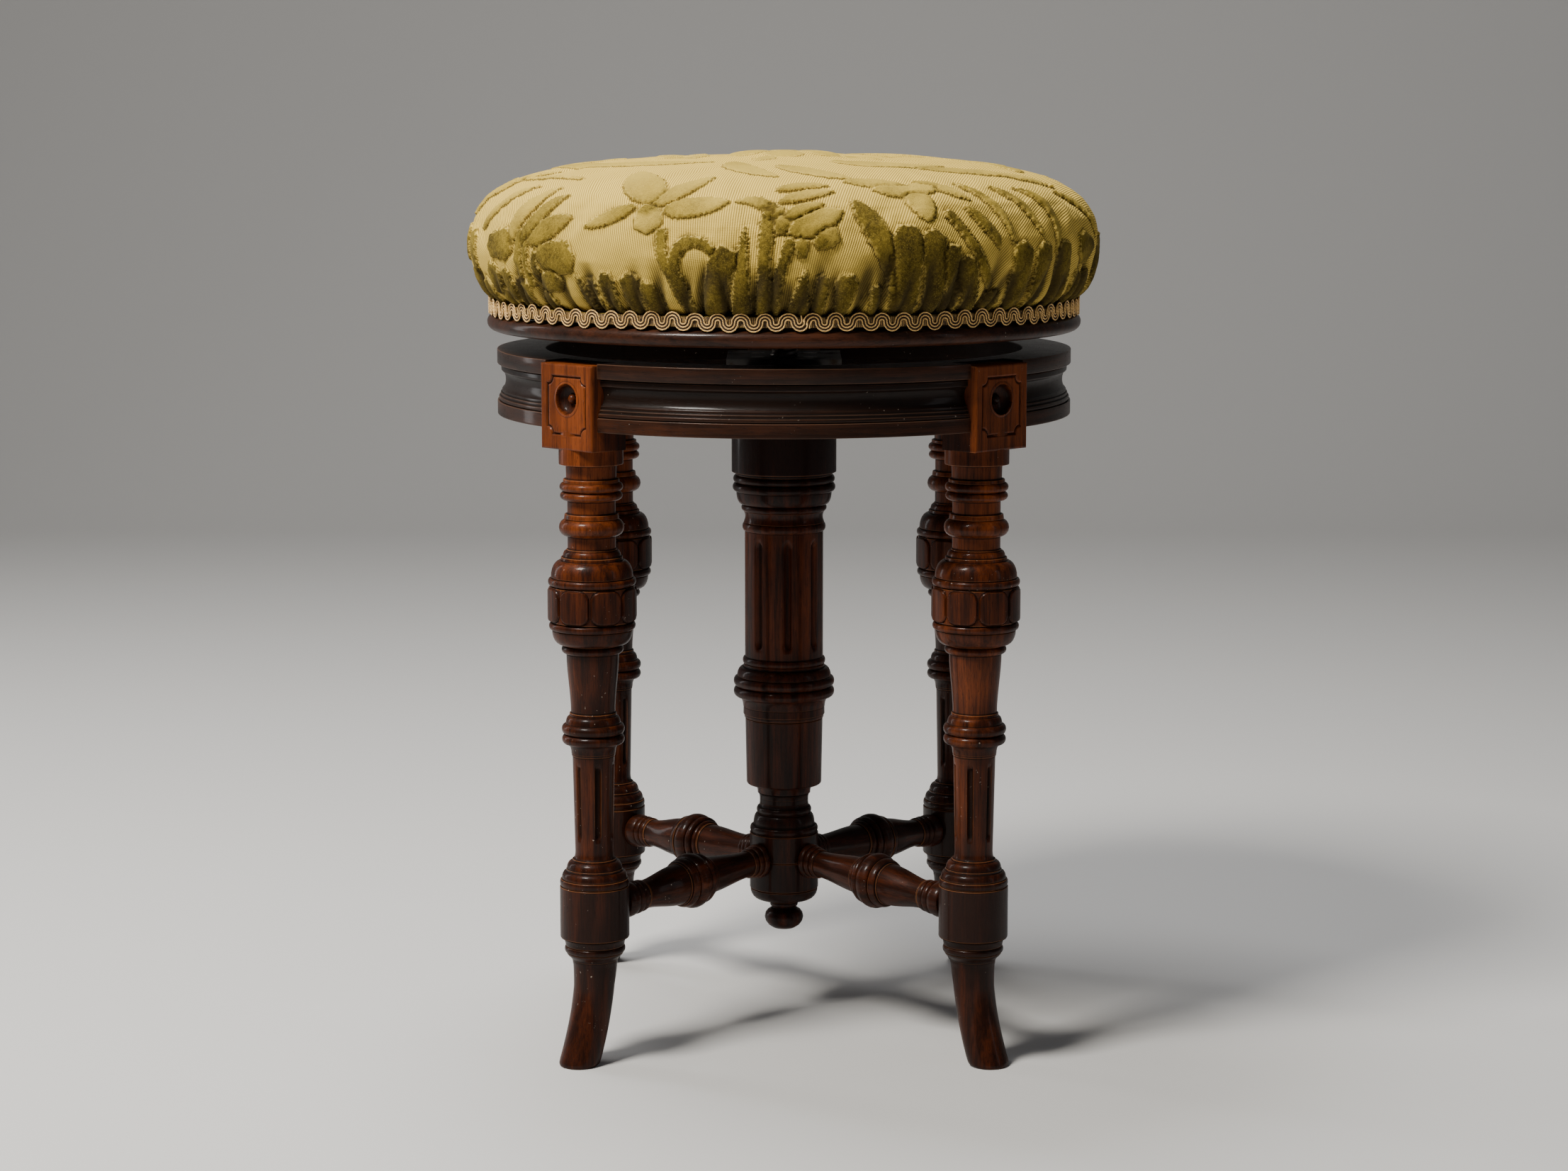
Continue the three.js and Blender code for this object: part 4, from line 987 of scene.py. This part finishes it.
def brought_to_profile(places):
    """Keeps the filled pad's own unevenness, and brings its mean outline to the drawn one."""
    lift = lift_of(*CUSHION_PROFILE.T)
    reach = np.hypot(CUSHION_PROFILE[:, 1] - CUSHION_CORE, CUSHION_PROFILE[:, 0])
    here = lift_of(radii(places), places[:, 2])
    distance = np.hypot(radii(places), places[:, 2] - CUSHION_CORE)
    top = here > lift[-1] + 0.004
    bands = np.digitize(here[top], np.linspace(lift[-1], math.pi / 2, 40))
    used = np.unique(bands)
    middles, means = (np.bincount(bands, values[top])[used] / np.bincount(bands)[used] for values in (here, distance))
    kept = np.clip(distance - np.interp(here, middles, means), -2, 2) * 0.6 - 0.4
    angle = bearings(places)
    back = np.exp(-((np.abs(angle) - 2.55) / 0.45) ** 2 - ((here - 0.42) / 0.15) ** 2)
    kept = (kept + back * np.where(angle > 0, 5, 2.4)) * smoothstep(here, -0.1, 0.03)
    stretch = np.where(top, (np.interp(-here, -lift, reach) + kept) / np.maximum(distance, 1), 1)
    stretch = 1 + (stretch - 1) * smoothstep(here, lift[-1], lift[-1] + 0.06)
    core = np.array([0, 0, CUSHION_CORE])
    return core + (places - core) * stretch[:, None]


def make_cushion():
    """Gathers the pad's cover above the braid, raises its pile and seats it on the board."""
    pad = filled_pad()
    places = brought_to_profile(coordinates(pad))
    angle, run = cloth_places(places)
    radius = radii(places)
    side = smoothstep(places[:, 2], CUSHION_BOTTOM + 0.3, CUSHION_BOTTOM + 1.8) * (radius > 140)
    drawn_in = pleats(angle, places[:, 2]) * side
    places[:, :2] *= 1 - (drawn_in / np.maximum(radius, 1))[:, None]
    put_coordinates(pad, places)

    warp, weft = run * np.sin(angle + WARP_TURN), -run * np.cos(angle + WARP_TURN)
    away, tone, under, parting = pile_distance(angle, run, radius)
    middle = rosette_distance(run * np.sin(angle), -run * np.cos(angle))
    tone = np.where(middle < away, 0.9, tone)
    parting = np.where(middle < away, 0, parting)
    away = np.minimum(away, middle)
    raised = 1.5 * smoothstep(away, 0.6, -0.6) - 0.3 * smoothstep(np.abs(away - 1.3), 1.0, 0) - 1.3 * parting
    puffed = 0.3 * smoothstep(away, 0, -5)
    shown = places[:, 2] > CUSHION_BOTTOM + 0.6
    flat_top = 1 - 0.6 * smoothstep(places[:, 2], 492, 503)
    normals = vectors_of(pad.data.vertex_normals, "vector")
    places += normals * ((raised + puffed) * shown * flat_top)[:, None]
    board_below = np.interp(radii(places), BOARD_BEVEL, (BOARD_TOP + 0.4, CUSHION_BOTTOM))
    places[:, 2] = np.maximum(places[:, 2], board_below)
    put_coordinates(pad, places)
    # Painted shade: darker towards the cushion's bottom, and in the gathers' folds.
    painted_low_shade = 0.6 * np.clip(1 - (places[:, 2] - CUSHION_BOTTOM) / 48, 0, 1) ** 1.3
    write_attributes(pad, cloth=np.column_stack([warp, weft, run * 0]), pile=away, tone=tone, under=under,
                     parting=parting, crease=np.clip(drawn_in / 3.8 + painted_low_shade, 0, 1))
    write_relief(pad, 3)
    dressed(pad, velvet, "seat", "seat_cover", "seat_stuffing", sharp=80)


def cut_velvet():
    """Ribbed ground with raised pile: frayed edges, gold loops lit along upper edges as painted highlight, painted
    shadow lines under them, and painted shade in hollows and folds.
    """
    finish = Finish("cut_velvet")
    cloth = finish.places("cloth")
    away, tone, relief, under, parting, crease = (
        finish.attribute(name) for name in ("pile", "tone", "relief", "under", "parting", "crease"))
    fuzz = finish.noise(cloth, 1300, 3, 0.7)
    tufts = finish.noise(cloth, 430, 3, 0.6)
    frayed = away + (fuzz - 0.5) * 1.1 + (tufts - 0.5) * 1.8
    pile = frayed.between(0.3, -0.1)
    cord = finish.wave(cloth, 224, "X", 0.5) * 0.75 + finish.wave(cloth, 330, "Y", 1.2) * 0.25
    cloudy = finish.noise(cloth, 26, 4, 0.6)
    brushed = finish.noise(finish.scaled(cloth, (1, 0.5, 1)), 70, 4, 0.6)
    ground = finish.mix(cord.between(0.1, 0.75), (0.29, 0.19, 0.04), (0.84, 0.59, 0.115))
    ground = finish.mix(cloudy.between(0.35, 0.7) * 0.45, ground, (0.52, 0.36, 0.07))
    # Pile lightness from brushing, tufts and each motif's value, which carries painted light: lighter near the top.
    nap = tone * 0.5 + brushed * 1.0 + tufts * 0.7 - 0.68
    finish.colour = finish.mix(nap.between(0.05, 0.95), (0.036, 0.024, 0.005), (0.34, 0.235, 0.032))
    finish.tint(tone.between(0.6, 0.95) * 0.55, (0.68, 0.48, 0.095))
    finish.tint(fuzz.between(0.5, 0.72) * 0.4, (0.5, 0.37, 0.075))
    finish.tint(fuzz.between(0.48, 0.3) * 0.45, (0.045, 0.031, 0.006))
    finish.colour = finish.mix(pile, ground, finish.colour)
    # Gold loops along the pile's edges, lit more on upper edges as a painted highlight.
    beads_and_rim_light = (frayed + 0.35).math("ABSOLUTE").between(0.75, 0.2) * tufts.between(0.42, 0.56)
    finish.tint(beads_and_rim_light * (0.55 - under.between(-0.3, 0.6) * 0.4), (0.74, 0.53, 0.13))
    # Painted shadow lines under the pile's edges and along the partings between motifs.
    shade = (frayed - 0.55).math("ABSOLUTE").between(0.6, 0.15) * (0.2 + under.between(-0.2, 0.5) * 0.65)
    finish.tint(shade.math("MAXIMUM", parting * 0.85), (0.07, 0.045, 0.009))
    # Painted shade in hollows, in the gathers' folds and low on the cushion.
    finish.tint((0 - relief).between(0.03, 0.3) * 0.7, (0.05, 0.036, 0.01))
    finish.tint(crease.between(0.12, 0.85) * 0.8, (0.034, 0.024, 0.011))
    finish.set("Base Color", finish.colour)
    finish.set("Roughness", 0.84 + fuzz * 0.14)
    finish.set("Sheen Weight", 0.08)
    finish.set("Sheen Roughness", 0.4)
    finish.set("Sheen Tint", (1, 0.8, 0.3))
    finish.set("Specular IOR Level", 0.06)
    finish.bump(cord * (1 - pile), 0.00035, 0.75)
    finish.bump(pile * 0.6 + tufts * pile * 0.5 + fuzz * (0.2 + pile * 0.45), 0.0008, 0.8)
    return finish


velvet = cut_velvet()


def add_tacked_edge():
    """The cloth below the stuffing, tacked round the board and mostly behind the braid."""
    outline = [(165.9, 418.4), (168.0, 418.4), (168.2, 420), (168.2, 423), (168.0, 424.2), (165.9, 424.2),
               (165.9, 418.4)]
    edge = turned("tacked_edge", outline, 160)
    places = coordinates(edge)
    bare = np.zeros(len(places))
    # The tacked edge gets painted shade all over.
    write_attributes(edge, cloth=np.column_stack([bearings(places) * 168, places[:, 2], bare]), pile=bare + 9,
                     tone=bare, under=bare, parting=bare, crease=bare + 0.6)
    dressed(edge, velvet, "seat")


def braid_yarn():
    """Twisted gold yarn, faded in patches."""
    finish = Finish("gimp_yarn", "gimp_cord")
    lay = finish.places("lay")
    twist = finish.wave(lay, 420, "DIAGONAL", 0.4)
    fibres = finish.noise(lay, 1500, 3, 0.7)
    aged = finish.noise(finish.places(), 60, 3)
    finish.colour = finish.mix(twist.between(0.2, 0.8), (0.52, 0.27, 0.06), (0.95, 0.63, 0.22))
    finish.tint(aged.between(0.42, 0.68) * 0.4, (0.56, 0.31, 0.08))
    finish.set("Base Color", finish.colour)
    finish.set("Roughness", 0.5 + fibres * 0.25)
    finish.set("Sheen Weight", 0.2)
    finish.bump(twist * 0.7 + fibres * 0.3, 0.00015, 0.7)
    return finish


def braid_tape():
    """Dark woven tape with a fine row of upright gold threads."""
    finish = Finish("gimp_tape", "gimp_cord")
    lay = finish.places("lay")
    threads = finish.wave(lay, 330, "X", 1.5)
    stray = finish.noise(lay, 260, 3)
    seen = threads.between(0.55, 0.85) * stray.between(0.36, 0.56)
    finish.set("Base Color", finish.mix(seen, (0.035, 0.018, 0.006), (0.6, 0.36, 0.11)))
    finish.set("Roughness", 0.75 + threads * 0.15)
    finish.bump(threads, 0.0003, 0.7)
    return finish


def round_the_seat(angle, out, height):
    """Places at an angle from the front, a distance from the middle and a height."""
    return np.column_stack([out * np.sin(angle), -out * np.cos(angle), height])


def add_backing(x, z, over, up, radius, reach):
    """A dark woven ribbon behind the cords, extruded flat from the line of their lower edge and then laid round."""
    bm = bmesh.new()
    low, high = ((x + up * side, z - over * side) for side in (reach, -reach))
    line = [bm.verts.new((along, 0, height)) for along, height in zip(*low)]
    edges = [bm.edges.new(pair) for pair in zip(line, line[1:])]
    far = only(bmesh.types.BMVert, bmesh.ops.extrude_edge_only(bm, edges=edges)["geom"])
    for vert, along, height in zip(far, *high):
        vert.co = along, 0, height
    bmesh.ops.recalc_face_normals(bm, faces=bm.faces)
    bmesh.ops.solidify(bm, geom=bm.faces, thickness=0.2)
    ribbon = object_of(bm, "gimp_backing")
    along, across, height = vectors_of(ribbon.data.vertices, "co").T
    put_coordinates(ribbon, round_the_seat(BRAID_START + along / radius, radius - 0.35 - across,
                                           BRAID_MIDDLE + height))
    finish = Finish("gimp_backing", "gimp_cord")
    weave = finish.noise(finish.places(), 900, 2)
    finish.set("Base Color", finish.mix(weave, (0.012, 0.006, 0.002), (0.05, 0.024, 0.008)))
    finish.set("Roughness", 0.8 + weave * 0.15)
    finish.bump(weave, 0.0002, 0.5)
    dressed(ribbon, finish, "seat", sharp=80)


def add_cord(name, angle, out, height, radius):
    """A round cord through places given as in round_the_seat, and how many points it has round each of them."""
    curve = bpy.data.curves.new("cord_draft", "CURVE")
    curve.dimensions = "3D"
    curve.bevel_depth = radius * MM
    curve.bevel_resolution = 1
    curve.use_fill_caps = True
    spline = curve.splines.new("POLY")
    spline.points.add(len(angle) - 1)
    line = round_the_seat(angle, out, height) * MM
    spline.points.foreach_set("co", np.column_stack([line, np.ones(len(angle))]).ravel())
    draft = placed("cord_draft", curve)
    bpy.context.view_layer.update()
    cord = placed(name, smoothed(modelled(draft)))
    bpy.data.objects.remove(draft)
    return cord, len(cord.data.vertices) // len(angle)


def add_braid():
    """Three cords laid side by side in one meander of half circles, over a narrow woven tape.
    Their ends meet a little right of the front, where they fray."""
    yarn = braid_yarn()
    waves, steps, radius, amplitude = 85, 24, 170.4, 3.05
    cord_gap, cord_radius = 1.66, 0.37
    period = math.tau * radius / waves
    share = np.arange(waves * steps + 1) / steps
    half_wave, inside = np.divmod(share * 2, 1)
    uneven = 1 + 0.05 * np.sin(share * 1.7) + 0.04 * np.sin(share * 5.3 + 1)
    x = period / 4 * (2 * half_wave + 1 - np.cos(math.pi * inside)) + 0.35 * np.sin(share * 2.9)
    z = amplitude * uneven * np.sin(math.pi * inside) * (1 - 2 * (half_wave % 2)) + 0.25 * np.sin(share * 0.9)
    dx, dz = np.gradient(x), np.gradient(z)
    length = np.hypot(dx, dz)
    loose_start, loose_end = np.clip(1 - share / 0.4, 0, 1) ** 2, np.clip(share - waves + 0.45, 0, 1) ** 2 * 5
    out = radius + loose_end * 0.7 + loose_start * 0.4
    add_backing(x, z, dx / length, dz / length, radius, cord_gap)
    for number, offset in enumerate((-cord_gap, 0, cord_gap)):
        along = x - dz / length * offset - loose_end * 1.5
        up = z + dx / length * offset + loose_end * (1.6 + offset) - loose_start * (1.4 - offset * 0.8)
        cord, sides = add_cord(f"gimp_cord_{number + 1}", BRAID_START + along / radius, out, BRAID_MIDDLE + up,
                               cord_radius)
        count = np.arange(len(cord.data.vertices))
        run = np.cumsum(length)[np.minimum(count // sides, len(x) - 1)]
        write_attributes(cord, lay=np.column_stack([run, (count % sides) / sides * 2.9, run * 0]))
        dressed(cord, yarn, "seat", *(["gimp_braid"] if number == 1 else []), sharp=80)
    low, high = BRAID_MIDDLE - 2.7, BRAID_MIDDLE + 2.6
    outline = [(168.4, low), (169.5, low), (169.7, low + 0.5), (169.7, high - 0.5), (169.5, high), (168.4, high),
               (168.4, low)]
    tape = turned("gimp_tape", outline, 160)
    places = coordinates(tape)
    write_attributes(tape, lay=np.column_stack([bearings(places) * 170, places[:, 2], places[:, 2] * 0]))
    dressed(tape, braid_tape(), "seat")


def finish_solids():
    """The solids that keep their shape get their own materials."""
    for name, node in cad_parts.items():
        if name.startswith("bridge_bar"):
            inner_wood.wear_on(node)
        elif "screw" in name or name == "stop_pin":
            screw_steel.wear_on(node)
        elif name in ("nut", "stop_washer", "seat_flange"):
            dark_iron.wear_on(node)


add_camera()
add_studio()
add_legs()
add_ring()
add_turnings()
add_stretchers()
add_board()
add_spindle()
make_cushion()
add_tacked_edge()
add_braid()
finish_solids()
